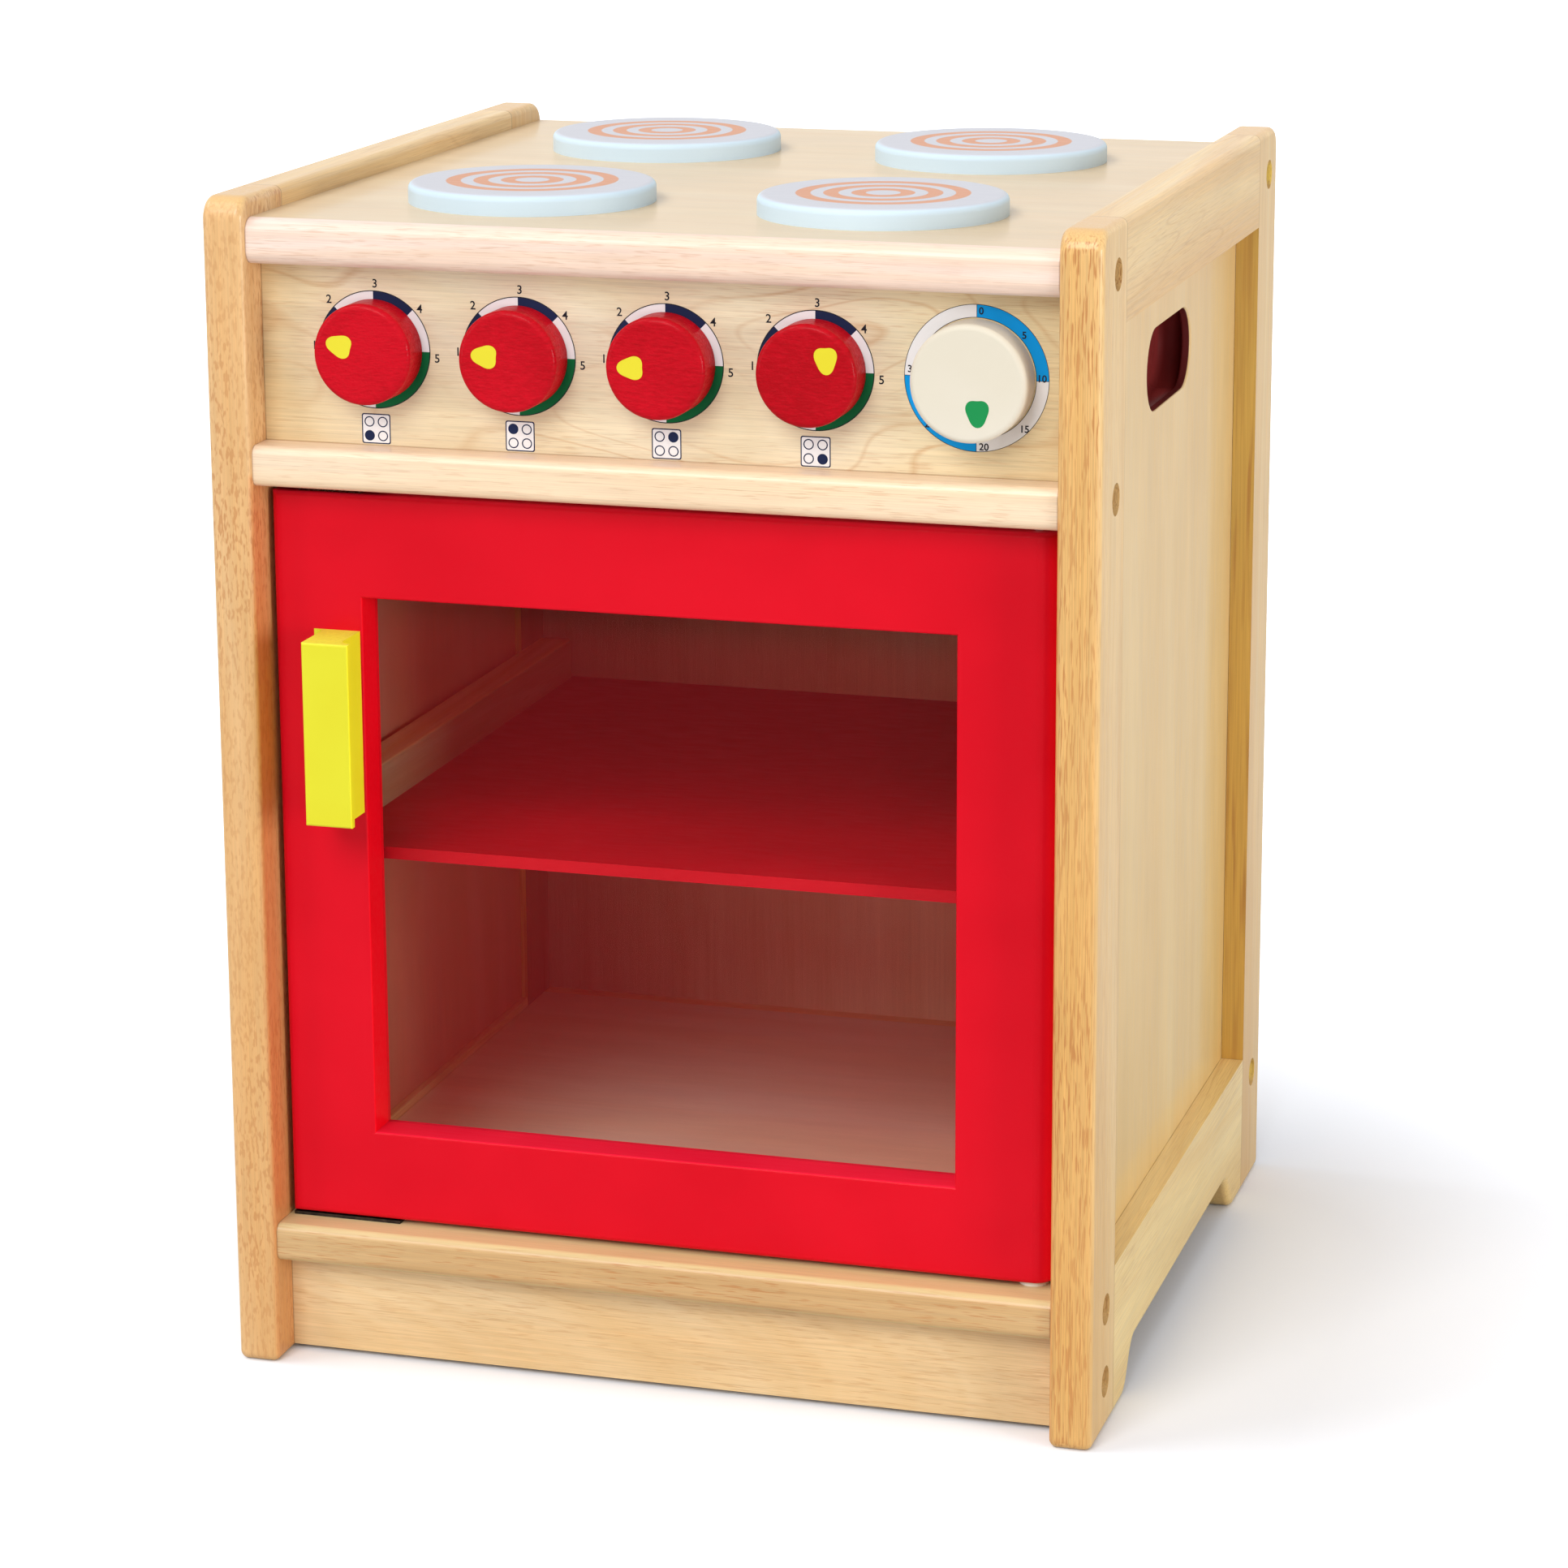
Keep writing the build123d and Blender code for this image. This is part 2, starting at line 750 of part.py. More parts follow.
def build_catches():
    half = catch_length / 2
    plates = []
    for level, sign in catch_levels():
        bottom = min(level, level + sign * catch_thickness)
        plate = block(
            catch_x - half,
            catch_x + half,
            catch_setback - catch_width / 2,
            catch_setback + catch_width / 2,
            bottom,
            bottom + catch_thickness,
        )
        plates.append(plate - catch_screw_holes() - catch_magnets())
    save("catch_strips", *plates)
    save("catch_magnets", *catch_magnets())
    sizes = (small_screw_diameter, small_screw_head_diameter, small_screw_length)
    screws = [wood_screw(*sizes, x, catch_setback, z, way) for x, z, way in catch_screw_places()]
    save("catch_screws", *screws)
    stop_front = door_rear_setback + stop_block_gap
    stop_bottom = shelf_top + runner_upper_height + stop_block_rise
    stop = block(
        -inner_half,
        -inner_half + stop_block_width,
        stop_front,
        stop_front + stop_block_depth,
        stop_bottom,
        stop_bottom + stop_block_height,
    )
    save("door_stop", stop)


def strike_plates():
    half = strike_length / 2
    near = pivot_setback - strike_width / 2
    far = pivot_setback + strike_width / 2
    lower = block(
        catch_x - half, catch_x + half, near, far, door_bottom, door_bottom + strike_thickness
    )
    upper = block(catch_x - half, catch_x + half, near, far, door_top - strike_thickness, door_top)
    return [lower, upper]


def bead_edges():
    """Inner and outer edges of the beads: left, right, bottom and top."""
    inner = [
        window_left - bead_inner_step,
        window_right + bead_inner_step,
        window_bottom - bead_inner_step,
        window_top + bead_inner_step,
    ]
    outer = [
        inner[0] - bead_width,
        inner[1] + bead_width,
        inner[2] - bead_width,
        inner[3] + bead_width,
    ]
    return inner, outer


def glazing_beads():
    inner, outer = bead_edges()
    back = door_rear_setback
    behind = door_rear_setback + bead_thickness
    return [
        block(outer[0], inner[0], back, behind, outer[2], outer[3]),
        block(inner[1], outer[1], back, behind, outer[2], outer[3]),
        block(inner[0], inner[1], back, behind, outer[2], inner[2]),
        block(inner[0], inner[1], back, behind, inner[3], outer[3]),
    ]


def bead_screw_places():
    """Place across and height of the screws, two in each bead."""
    inner, outer = bead_edges()
    lines_x = [outer[0] + bead_width / 4, outer[1] - bead_width / 4]
    lines_z = [outer[2] + bead_width / 4, outer[3] - bead_width / 4]
    inset_x = bead_screw_inset_share * (inner[1] - inner[0])
    inset_z = bead_screw_inset_share * (inner[3] - inner[2])
    upright = [(x, z) for x in lines_x for z in (inner[2] + inset_z, inner[3] - inset_z)]
    level = [(x, z) for z in lines_z for x in (inner[0] + inset_x, inner[1] - inset_x)]
    return upright + level


def finger_pull():
    """The pull in plan: a flare on its left and an overhanging lip on its right."""
    left = door_left + pull_left_margin
    right = left + pull_width
    base = front + door_setback
    face = base - pull_depth
    waist = right - pull_cove_radius
    cove_start = face + pull_lip_thickness
    flare_start = base - pull_flare_radius
    line = [
        RadiusArc((left - pull_flare_radius, base), (left, flare_start), pull_flare_radius),
        Polyline((left, flare_start), (left, face), (right, face), (right, cove_start)),
        RadiusArc((right, cove_start), (waist, cove_start + pull_cove_radius), pull_cove_radius),
        Polyline(
            (waist, cove_start + pull_cove_radius), (waist, base), (left - pull_flare_radius, base)
        ),
    ]
    bottom = door_top - pull_top_margin - pull_height
    pull = extrude(Pos(0, 0, bottom) * make_face(Curve() + line), pull_height)
    return fillet(pull.faces().sort_by(Axis.Y)[0].edges(), pull_edge_radius)


def pull_screw_places():
    """Place across and height of the two screws of the finger pull."""
    middle = door_top - pull_top_margin - pull_height / 2
    x = door_left + pull_left_margin + (pull_width - pull_cove_radius - pull_flare_radius) / 2
    return [(x, middle - pull_screw_pitch / 2), (x, middle + pull_screw_pitch / 2)]


def build_door():
    board = block(door_left, door_right, door_setback, door_rear_setback, door_bottom, door_top)
    hinge_edge = board.edges().filter_by(Axis.Z).group_by(Axis.X)[-1].sort_by(Axis.Y)[0]
    board = fillet(hinge_edge, door_hinge_edge_radius)
    flat_right = door_right - door_hinge_edge_radius - overrun
    front_edges = board.faces().sort_by(Axis.Y)[0].edges()
    board = fillet([edge for edge in front_edges if edge.center().X < flat_right], door_edge_radius)
    board -= block(window_left, window_right, 0, depth, window_bottom, window_top)
    window_rim = board.faces().sort_by(Axis.Y)[0].inner_wires()[0].edges()
    board = fillet(window_rim, window_edge_radius)
    board -= block(
        window_left - pane_rebate_width,
        window_right + pane_rebate_width,
        pane_setback,
        depth,
        window_bottom - pane_rebate_width,
        window_top + pane_rebate_width,
    )
    pin_length = pivot_pin_door_length
    board -= rod(pivot_pin_diameter, pin_length, pivot_x, pivot_setback, door_bottom, (0, 0, 1))
    board -= rod(pivot_pin_diameter, pin_length, pivot_x, pivot_setback, door_top, (0, 0, -1))
    forward = (0, -1, 0)
    bead_screw_sizes = (small_screw_diameter, small_screw_head_diameter, small_screw_length)
    bead_back = door_rear_setback + bead_thickness
    bead_holes = [
        screw_hole(*bead_screw_sizes, x, bead_back, z, forward) for x, z in bead_screw_places()
    ]
    pull_screw_length = door_thickness + pull_screw_depth
    pull_sizes = (screw_diameter, screw_head_diameter, pull_screw_length)
    pull_holes = [
        screw_hole(*pull_sizes, x, door_rear_setback, z, forward) for x, z in pull_screw_places()
    ]
    save("door_board", board - strike_plates() - bead_holes - pull_holes)
    save("door_strikes", *strike_plates())
    pane_reach = pane_rebate_width - pane_clearance
    pane = block(
        window_left - pane_reach,
        window_right + pane_reach,
        pane_setback,
        pane_setback + pane_thickness,
        window_bottom - pane_reach,
        window_top + pane_reach,
    )
    save("door_pane", pane)
    save("glazing_beads", *[bead - bead_holes for bead in glazing_beads()])
    bead_screws = [
        wood_screw(*bead_screw_sizes, x, bead_back, z, forward) for x, z in bead_screw_places()
    ]
    save("glazing_screws", *bead_screws)
    save("door_pull", finger_pull() - pull_holes)
    pull_screws = [
        wood_screw(*pull_sizes, x, door_rear_setback, z, forward) for x, z in pull_screw_places()
    ]
    save("door_pull_screws", *pull_screws)


def build_knobs():
    rearward = (0, 1, 0)
    knob_back = control_panel_setback - knob_back_gap
    panel_back = control_panel_setback + control_panel_thickness
    washer_front = panel_back + knob_back_gap
    washer_back = washer_front + knob_washer_thickness
    bore = knob_shoulder_diameter + 2 * knob_running_clearance
    for name, x, diameter in knob_places():
        z = knob_axis_height
        knob = rod(diameter, knob_depth, x, knob_back - knob_depth, z, rearward)
        knob = fillet(knob.edges().sort_by(Axis.Y)[0], knob_front_radius)
        thread = rod(knob_thread_diameter, knob_thread_length, x, knob_back, z, (0, -1, 0))
        save(name, knob - thread)
        shoulder = rod(knob_shoulder_diameter, washer_back - knob_back, x, knob_back, z, rearward)
        head = rod(knob_head_diameter, knob_head_length, x, washer_back, z, rearward)
        washer_sizes = (knob_washer_diameter, bore, knob_washer_thickness)
        washer = ring(*washer_sizes, x, washer_front, z, rearward)
        save(f"{name}_screw", thread + shoulder + head, washer)


os.makedirs("parts", exist_ok=True)
build_sides()
build_hob()
build_front()
build_back_and_oven()
build_shelf()
build_pivots()
build_catches()
build_door()
build_knobs()
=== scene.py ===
# %% [markdown]
# # Dressing a wooden toy stove
#
# The frame that this file loads is the stove's CAD model. Every board, knob and screw is already in
# its real place, in metres, with +X to the right, -Y to the front and +Z up. What is missing is how
# it looks: lacquered wood, paint, printed dials, a tinted pane. Each step below says what a piece or
# finish is on the real stove, then makes it.

# %% Load the frame
import math

import bmesh
import bpy
from mathutils import Matrix, Vector


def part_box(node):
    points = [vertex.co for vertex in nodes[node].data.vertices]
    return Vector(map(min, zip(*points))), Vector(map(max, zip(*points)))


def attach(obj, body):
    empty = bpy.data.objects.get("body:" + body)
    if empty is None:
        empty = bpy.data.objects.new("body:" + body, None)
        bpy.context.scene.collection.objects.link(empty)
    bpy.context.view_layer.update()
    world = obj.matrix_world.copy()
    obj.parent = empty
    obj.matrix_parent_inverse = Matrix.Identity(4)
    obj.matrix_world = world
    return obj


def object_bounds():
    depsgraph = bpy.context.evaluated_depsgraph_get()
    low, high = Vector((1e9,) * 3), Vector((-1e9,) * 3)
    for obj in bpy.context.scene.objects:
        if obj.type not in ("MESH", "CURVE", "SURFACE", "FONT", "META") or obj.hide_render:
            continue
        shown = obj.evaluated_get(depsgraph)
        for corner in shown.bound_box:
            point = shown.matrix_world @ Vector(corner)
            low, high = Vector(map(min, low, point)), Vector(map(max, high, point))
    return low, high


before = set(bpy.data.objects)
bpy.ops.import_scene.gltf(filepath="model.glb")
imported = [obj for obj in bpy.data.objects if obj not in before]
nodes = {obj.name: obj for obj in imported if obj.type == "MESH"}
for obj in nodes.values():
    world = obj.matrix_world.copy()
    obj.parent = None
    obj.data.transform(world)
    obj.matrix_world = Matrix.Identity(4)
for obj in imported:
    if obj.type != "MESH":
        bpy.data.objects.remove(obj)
cad_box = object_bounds()

# %% [markdown]
# ## The camera
#
# The stove is seen from the front, a little from its right and from above. The photographer kept the
# upright edges nearly upright by shifting the lens, so the camera here has a small shift too. It is
# kept small, because every other view of the stove uses the same lens.

# %% Place the camera
camera_place = Vector((0.596, -1.959, 0.788))
camera_turn = math.radians(15.53)
camera_tilt = math.radians(13.09)
frame_width, focal_length = 36, 103.7
shift_right, shift_up = -0.06, -0.10

lens = bpy.data.cameras.new("studio_camera")
lens.sensor_width, lens.lens = frame_width, focal_length
lens.shift_x, lens.shift_y = shift_right, shift_up
camera = bpy.data.objects.new("studio_camera", lens)
bpy.context.scene.collection.objects.link(camera)
camera.location = camera_place
camera.rotation_euler = (math.radians(90) - camera_tilt, 0, camera_turn)
bpy.context.scene.camera = camera
bpy.context.scene.view_settings.view_transform = "Standard"
print("camera height above the floor:", round(camera_place.z, 2), "m")

# %% [markdown]
# ## Small helpers for materials
#
# A finish in Blender is a tree of nodes. Writing each node by hand takes four lines, so one helper
# adds a node, sets its plain values and links the rest. Colours are easiest to read as on a paint
# card, in six hex digits, while a shader wants the amount of light, so another helper converts them.
# Some finishes differ from face to face, so the last helpers tell where a point is, which way its face
# looks, and tint only the faces that look one way.


# %% Helpers for colours and nodes
NO_WASH = (1, 1, 1, 1)
NOISE_SPAN, NOISE_CORE, SIDE_SPAN = (0.3, 0.7), (0.35, 0.65), (0.45, 0.9)


def colour(card):
    """The light that a colour written like #E8B878 sends back, as red, green, blue and alpha."""
    shares = [int(card[i : i + 2], 16) / 255 for i in (1, 3, 5)]
    light = [s / 12.92 if s <= 0.04045 else ((s + 0.055) / 1.055) ** 2.4 for s in shares]
    return (*light, 1)


def add_node(tree, kind, inputs=None, **settings):
    """Adds one node. An input is a plain value, or the output of another node to link."""
    made = tree.nodes.new(kind)
    for name, value in settings.items():
        setattr(made, name, value)
    for key, value in (inputs or {}).items():
        if isinstance(value, bpy.types.NodeSocket):
            tree.links.new(value, made.inputs[key])
        else:
            made.inputs[key].default_value = value
    return made


def maths(tree, operation, first, second=0.0):
    """One sum of two numbers."""
    return add_node(tree, "ShaderNodeMath", {0: first, 1: second}, operation=operation).outputs[0]


def vector_maths(tree, operation, first, second=(0, 0, 0)):
    """One sum of two places or directions. LENGTH gives a number, all others a place."""
    made = add_node(tree, "ShaderNodeVectorMath", {0: first, 1: second}, operation=operation)
    return made.outputs["Value" if operation == "LENGTH" else "Vector"]


def fade(tree, value, low, high, to_low=0.0, to_high=1.0):
    """Turns values from low to high into to_low to to_high, and holds the ends beyond them."""
    sockets = {"Value": value, 1: low, 2: high, 3: to_low, 4: to_high}
    return add_node(tree, "ShaderNodeMapRange", sockets).outputs[0]


def mix(tree, share, first, second, blend="MIX"):
    """The first colour where share is 0 and the second, or the blend of both, where it is 1."""
    made = add_node(tree, "ShaderNodeMix", data_type="RGBA", blend_type=blend)
    for socket, value in ((0, share), (6, first), (7, second)):
        if isinstance(value, bpy.types.NodeSocket):
            tree.links.new(value, made.inputs[socket])
        else:
            made.inputs[socket].default_value = value
    return made.outputs[2]


def surface_place(tree):
    """Where on the stove a point is, in metres."""
    return add_node(tree, "ShaderNodeTexCoord").outputs["Object"]


def numbers_of(tree, vector):
    """The three numbers of a place or a direction."""
    return add_node(tree, "ShaderNodeSeparateXYZ", {0: vector}).outputs


def facing(tree):
    """How far a face looks along X, Y and Z, each from -1 to 1."""
    return numbers_of(tree, add_node(tree, "ShaderNodeTexCoord").outputs["Normal"])


def noise(tree, place, bumps, detail=2.0, rough=0.5):
    """Cloudy values around a half, nearly all of them in NOISE_SPAN. bumps is about how many there are
    in a metre: one number, or one along each axis of the place."""
    if not isinstance(bumps, (int, float)):
        place = vector_maths(tree, "MULTIPLY", place, bumps)
        bumps = 1
    sockets = {"Vector": place, "Scale": bumps, "Detail": detail, "Roughness": rough}
    return add_node(tree, "ShaderNodeTexNoise", sockets).outputs["Fac"]


def new_material(name, **constants):
    """A material with its main shader. The constants go straight onto the shader's sockets."""
    material = bpy.data.materials.new(name)
    material.use_nodes = True
    shader = material.node_tree.nodes["Principled BSDF"]
    for socket, value in constants.items():
        shader.inputs[socket.replace("_", " ")].default_value = value
    return material, material.node_tree, shader


def bump(tree, shader, height, distance, strength=1.0):
    """Makes the shading follow a height, so that a flat face looks like a skin with relief."""
    sockets = {"Height": height, "Distance": distance, "Strength": strength}
    tree.links.new(add_node(tree, "ShaderNodeBump", sockets).outputs["Normal"], shader.inputs["Normal"])


def finish_tree(node_name):
    """The nodes of the finish that a CAD part wears."""
    return nodes[node_name].material_slots[0].material.node_tree


def lay_over(tree, share, cover, blend="MIX"):
    """Lays a colour over the one that a finish has so far, where share is above 0."""
    surface = tree.nodes["Principled BSDF"].inputs["Base Color"]
    tree.links.new(mix(tree, share, surface.links[0].from_socket, cover, blend), surface)


def side_share(tree, along):
    """1 on faces that look fully along an axis, 0 on faces across it, soft on rounded edges."""
    return fade(tree, along, *SIDE_SPAN)


def wash_side(tree, axis, sign, wash):
    """Multiplies the colour of the faces that look along +axis or -axis by a wash."""
    along = maths(tree, "MULTIPLY", facing(tree)["xyz".index(axis)], sign)
    lay_over(tree, side_share(tree, along), wash, "MULTIPLY")


def change_along(tree, axis, low, high, first, second):
    """A wash that changes from first to second between two places along an axis, in metres."""
    along = numbers_of(tree, surface_place(tree))["xyz".index(axis)]
    return mix(tree, fade(tree, along, low, high), first, second)


def wear_finish(node_names, material):
    """Gives CAD parts a finish in place of the plain one that they came with."""
    for name in node_names:
        nodes[name].material_slots[0].material = material


print("#E8B878 sends back:", [round(share, 2) for share in colour("#E8B878")[:3]])

# %% [markdown]
# ## Lacquered rubberwood
#
# The boards are rubberwood under clear lacquer. Its pores show as short dark dashes along the grain,
# and its broad growth bands are faint. A picture wrapped round a board would break at every edge, so
# the wood is made as a solid: the bands are rings around a pith that lies beside the board, and the
# pores are long thin specks. The long faces then show streaks, the ends show arcs, and both agree.
# A board sawn a little out of line with the trunk shows pointed arches, so the pith leans.

# %% Places and noise within a board
grain_orders = {"x": ("X", "Y", "Z"), "y": ("Y", "Z", "X"), "z": ("Z", "X", "Y")}


def board_place(tree, node_name, grain):
    """The place within a board: first along its grain, then twice across it, from its middle."""
    low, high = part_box(node_name)
    centred = vector_maths(tree, "SUBTRACT", surface_place(tree), (low + high) / 2)
    split = numbers_of(tree, centred)
    axes = {i: split[axis] for i, axis in enumerate(grain_orders[grain])}
    return add_node(tree, "ShaderNodeCombineXYZ", axes).outputs[0]


def grain_noise(tree, place, bumps, detail=1.0, rough=0.5):
    """Noise drawn out along the grain. bumps is how many there are in a metre, along and across."""
    along, across = bumps
    return noise(tree, place, (along, across, across), detail, rough)


print("along the grain and across it, where it runs along z:", grain_orders["z"])

# %% [markdown]
# The pattern of a board has five parts, from broad to fine. A slow swirl pulls the growth bands out of
# round, or they would look as if turned on a lathe. Pores gather in clumps and are fainter between
# them. The seed moves a board to another part of the noise, which makes it another board.

# %% Bands, fibres, lines, pores and clumps
swirl_bumps, swirl_reach = (3.0, 11.0), 0.03
fibre_bumps, line_bumps, clump_bumps = (14.0, 600.0), (20.0, 1900.0), (7.0, 30.0)
line_span, clump_span, between_clumps = (0.36, 0.64), (0.4, 0.62), 0.45
seed_steps, seed_band_step = (1.7, 2.3, 3.1), 7.3


def wood_pattern(tree, place, seed, pith, lean, rings, pore_size, pore_range):
    """Returns the bands, fibres, fine lines, pores and clumps of a board. The lines go from -1 to 0.6,
    the fibres are plain noise, and the rest goes from 0 to 1."""
    moved = vector_maths(tree, "ADD", place, tuple(step * seed for step in seed_steps))
    along, across = swirl_bumps
    swirl = vector_maths(tree, "MULTIPLY", moved, (along, across, across))
    swirl = add_node(tree, "ShaderNodeTexNoise", {"Vector": swirl, "Scale": 1.0, "Detail": 1.0})
    swirl = vector_maths(tree, "SUBTRACT", swirl.outputs["Color"], (0.5, 0.5, 0.5))
    swirl = vector_maths(tree, "MULTIPLY", swirl, (0.0, swirl_reach, swirl_reach))
    along = numbers_of(tree, place)[0]
    leaning = add_node(tree, "ShaderNodeCombineXYZ", {1: maths(tree, "MULTIPLY", along, lean)})
    around = vector_maths(tree, "MULTIPLY", place, (0, 1, 1))
    for part in ((0, *pith), leaning.outputs[0], swirl):
        around = vector_maths(tree, "ADD", around, part)
    radius = maths(tree, "MULTIPLY", vector_maths(tree, "LENGTH", around), rings)
    bands = {"W": maths(tree, "ADD", radius, seed_band_step * seed), "Scale": 1.0, "Detail": 3.0}
    bands = add_node(tree, "ShaderNodeTexNoise", bands, noise_dimensions="1D").outputs["Fac"]
    fibres = grain_noise(tree, moved, fibre_bumps, 3.0, 0.6)
    lines = fade(tree, grain_noise(tree, moved, line_bumps), *line_span, -1.0, 0.6)
    specks = fade(tree, grain_noise(tree, moved, pore_size), *pore_range)
    clumps = fade(tree, grain_noise(tree, moved, clump_bumps), *clump_span)
    specks = maths(tree, "MULTIPLY", specks, fade(tree, clumps, 0.0, 1.0, between_clumps, 1.0))
    return fade(tree, bands, *NOISE_SPAN), fibres, lines, specks, clumps


print("fibres and fine lines in a centimetre of board:", fibre_bumps[1] / 100, line_bumps[1] / 100)

# %% [markdown]
# A board's finish lays the parts over each other: first its three tones, then light and dark from the
# fibres, then loops, pores, end grain and glue lines in browns. The lacquer on top follows the fibres
# a little and dips at the pores.

# %% A lacquered board
pore_brown, loop_brown, seam_brown = colour("#B4733A"), colour("#C08A4E"), colour("#8A5A2C")
end_brown = colour("#DDB37C")
broad_bumps, mottle_bumps, loops_per_hill = (2.5, 16.0), (16.0, 60.0), 9.0
pore_depth, seam_width, end_span = 0.00008, (0.00015, 0.0006), (0.6, 0.95)
broad_share, seam_share, end_share, fibre_share = 0.55, 0.55, 0.6, 0.35
fibre_light, mottle_light, lacquer_roughness = (0.95, 1.03), (0.965, 1.03), (0.34, 0.46)
loop_half_width = 0.09


def growth_loops(tree, place, seed, loop_size, loops):
    """Thin wandering lines at even heights of smooth hills, like the lines on a map."""
    moved = vector_maths(tree, "ADD", place, (seed, 0, 0))
    hills = grain_noise(tree, moved, loop_size, rough=0.3)
    turns = maths(tree, "FRACT", maths(tree, "MULTIPLY", hills, loops_per_hill))
    off_line = maths(tree, "ABSOLUTE", maths(tree, "SUBTRACT", turns, 0.5))
    return fade(tree, off_line, 0.0, loop_half_width, loops, 0.0)


def glue_lines(tree, surface, seams):
    """Darkens the surface in a thin line at each seam, an (axis, place) pair."""
    at = numbers_of(tree, surface_place(tree))
    for axis, seam in seams:
        gap = maths(tree, "ABSOLUTE", maths(tree, "SUBTRACT", at["xyz".index(axis)], seam))
        surface = mix(tree, fade(tree, gap, *seam_width, seam_share, 0.0), surface, seam_brown)
    return surface


def wood(name, node_name, grain, seed, tones, pith=(0.02, 0.07), lean=0.08, rings=110.0, streaks=0.06,
         pores=0.25, pore_size=(90.0, 1500.0), pore_range=(0.57, 0.7), edge=None, edge_axis="y",
         inner=0.0, loops=0.0, loop_size=(9.0, 22.0), seams=()):
    """A lacquered board. tones are its pale, middle and deep colour. pith is how far beside the board
    the trunk's middle lies, lean how much it leans, and rings how many bands a metre holds. streaks and
    pores are how far both show. pore_size and loop_size are bumps in a metre, along and across. edge
    holds the tones, streaks and pores of the faces that look along edge_axis, and with inner 1 or -1
    also of the faces towards +X or -X, where they paint shade and red bounce light. loops is how far
    thin wandering growth lines show. seams are (axis, place) pairs where the board meets a neighbour."""
    material, tree, shader = new_material(name, Coat_Weight=0.35, Coat_Roughness=0.12,
                                          Specular_IOR_Level=0.3)
    place = board_place(tree, node_name, grain)
    bands, fibres, lines, specks, clumps = wood_pattern(tree, place, seed, pith, lean, rings, pore_size,
                                                        pore_range)
    broad = fade(tree, grain_noise(tree, place, broad_bumps, 2.0), *NOISE_CORE)

    def tinted(pale, middle, deep):
        banded = mix(tree, bands, colour(middle), colour(pale))
        return mix(tree, maths(tree, "MULTIPLY", broad, broad_share), banded, colour(deep))

    surface = tinted(*tones)
    faces = facing(tree)
    if edge:
        edge_tones, edge_streaks, edge_pores = edge
        along = maths(tree, "ABSOLUTE", faces["xyz".index(edge_axis)])
        along = maths(tree, "MAXIMUM", along, maths(tree, "MULTIPLY", faces[0], inner))
        on_edge = side_share(tree, along)
        surface = mix(tree, on_edge, surface, tinted(*edge_tones))
        streaks = fade(tree, on_edge, 0.0, 1.0, streaks, edge_streaks)
        pores = fade(tree, on_edge, 0.0, 1.0, pores, edge_pores)
    light = maths(tree, "MULTIPLY", lines, streaks)
    light = maths(tree, "ADD", light, fade(tree, fibres, *NOISE_SPAN, *fibre_light))
    mottle = grain_noise(tree, place, mottle_bumps, 2.0)
    light = maths(tree, "MULTIPLY", light, fade(tree, mottle, *NOISE_SPAN, *mottle_light))
    shade = add_node(tree, "ShaderNodeCombineColor", {i: light for i in range(3)}).outputs[0]
    surface = mix(tree, 1.0, surface, shade, "MULTIPLY")
    if loops:
        line = growth_loops(tree, place, seed, loop_size, loops)
        surface = mix(tree, maths(tree, "MULTIPLY", line, clumps), surface, loop_brown)
    surface = mix(tree, maths(tree, "MULTIPLY", specks, pores), surface, pore_brown)
    along = faces["XYZ".index(grain_orders[grain][0])]
    cut = fade(tree, maths(tree, "ABSOLUTE", along), *end_span, 0.0, end_share)
    surface = mix(tree, cut, surface, mix(tree, bands, end_brown, colour(tones[2])))
    tree.links.new(glue_lines(tree, surface, seams), shader.inputs["Base Color"])
    roughness = fade(tree, fibres, *NOISE_SPAN, *lacquer_roughness)
    tree.links.new(roughness, shader.inputs["Roughness"])
    height = maths(tree, "SUBTRACT", maths(tree, "MULTIPLY", fibres, fibre_share), specks)
    bump(tree, shader, height, pore_depth, 0.6)
    return material


print("pores are pressed in by", round(pore_depth * 1000, 3), "mm")

# %% [markdown]
# ## The boards
#
# No two boards come from the same tree, so each has its own seed, pith and tone. The side frames'
# edges, which look to the front, took up more stain than their flat sides: they are honey coloured
# with dense dark dashes. On the front stiles the faces that look inwards get these tones as well, as
# painted shade and red bounce light from the door. Front rails and the control panel are paler. The
# strip inside each rear stile is deep amber, painted far paler as painted light, since it lies in the
# shade of its recess. Where a rail meets a stile there is no gap, only the fine dark line of the glue
# joint.

# %% Wood for the side frames
pale_tones = ("#EECE94", "#E6BF82", "#D9A760")
honey_tones = ("#EAC694", "#DEB077", "#CE9653")
# Painted light: the rear stiles' front strip lies in the shade of its recess, so its amber is painted
# far paler than the wood.
lit_amber_tones = ("#FFE985", "#FFDC6E", "#FFC04A")
front_tones = ("#F7E5D0", "#F2D9B8", "#E8C396")
joint_places = [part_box("left_front_stile")[1].y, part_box("left_rear_stile")[0].y]
joints = [("y", place) for place in joint_places]
edge_looks = {
    "left_front_stile": (honey_tones, 0.05, 0.6),
    "right_front_stile": (("#E8C389", "#DDAF6C", "#CC9446"), 0.11, 0.75),
    "left_rear_stile": (lit_amber_tones, 0.1, 0.7),
    "right_rear_stile": (lit_amber_tones, 0.1, 0.7),
}

pore_looks = {
    "left_front_stile": ((240.0, 800.0), (0.5, 0.63)),
    "right_front_stile": ((90.0, 1300.0), (0.53, 0.64)),
    "left_rear_stile": ((18.0, 420.0), (0.5, 0.7)),
    "right_rear_stile": ((18.0, 420.0), (0.5, 0.7)),
}

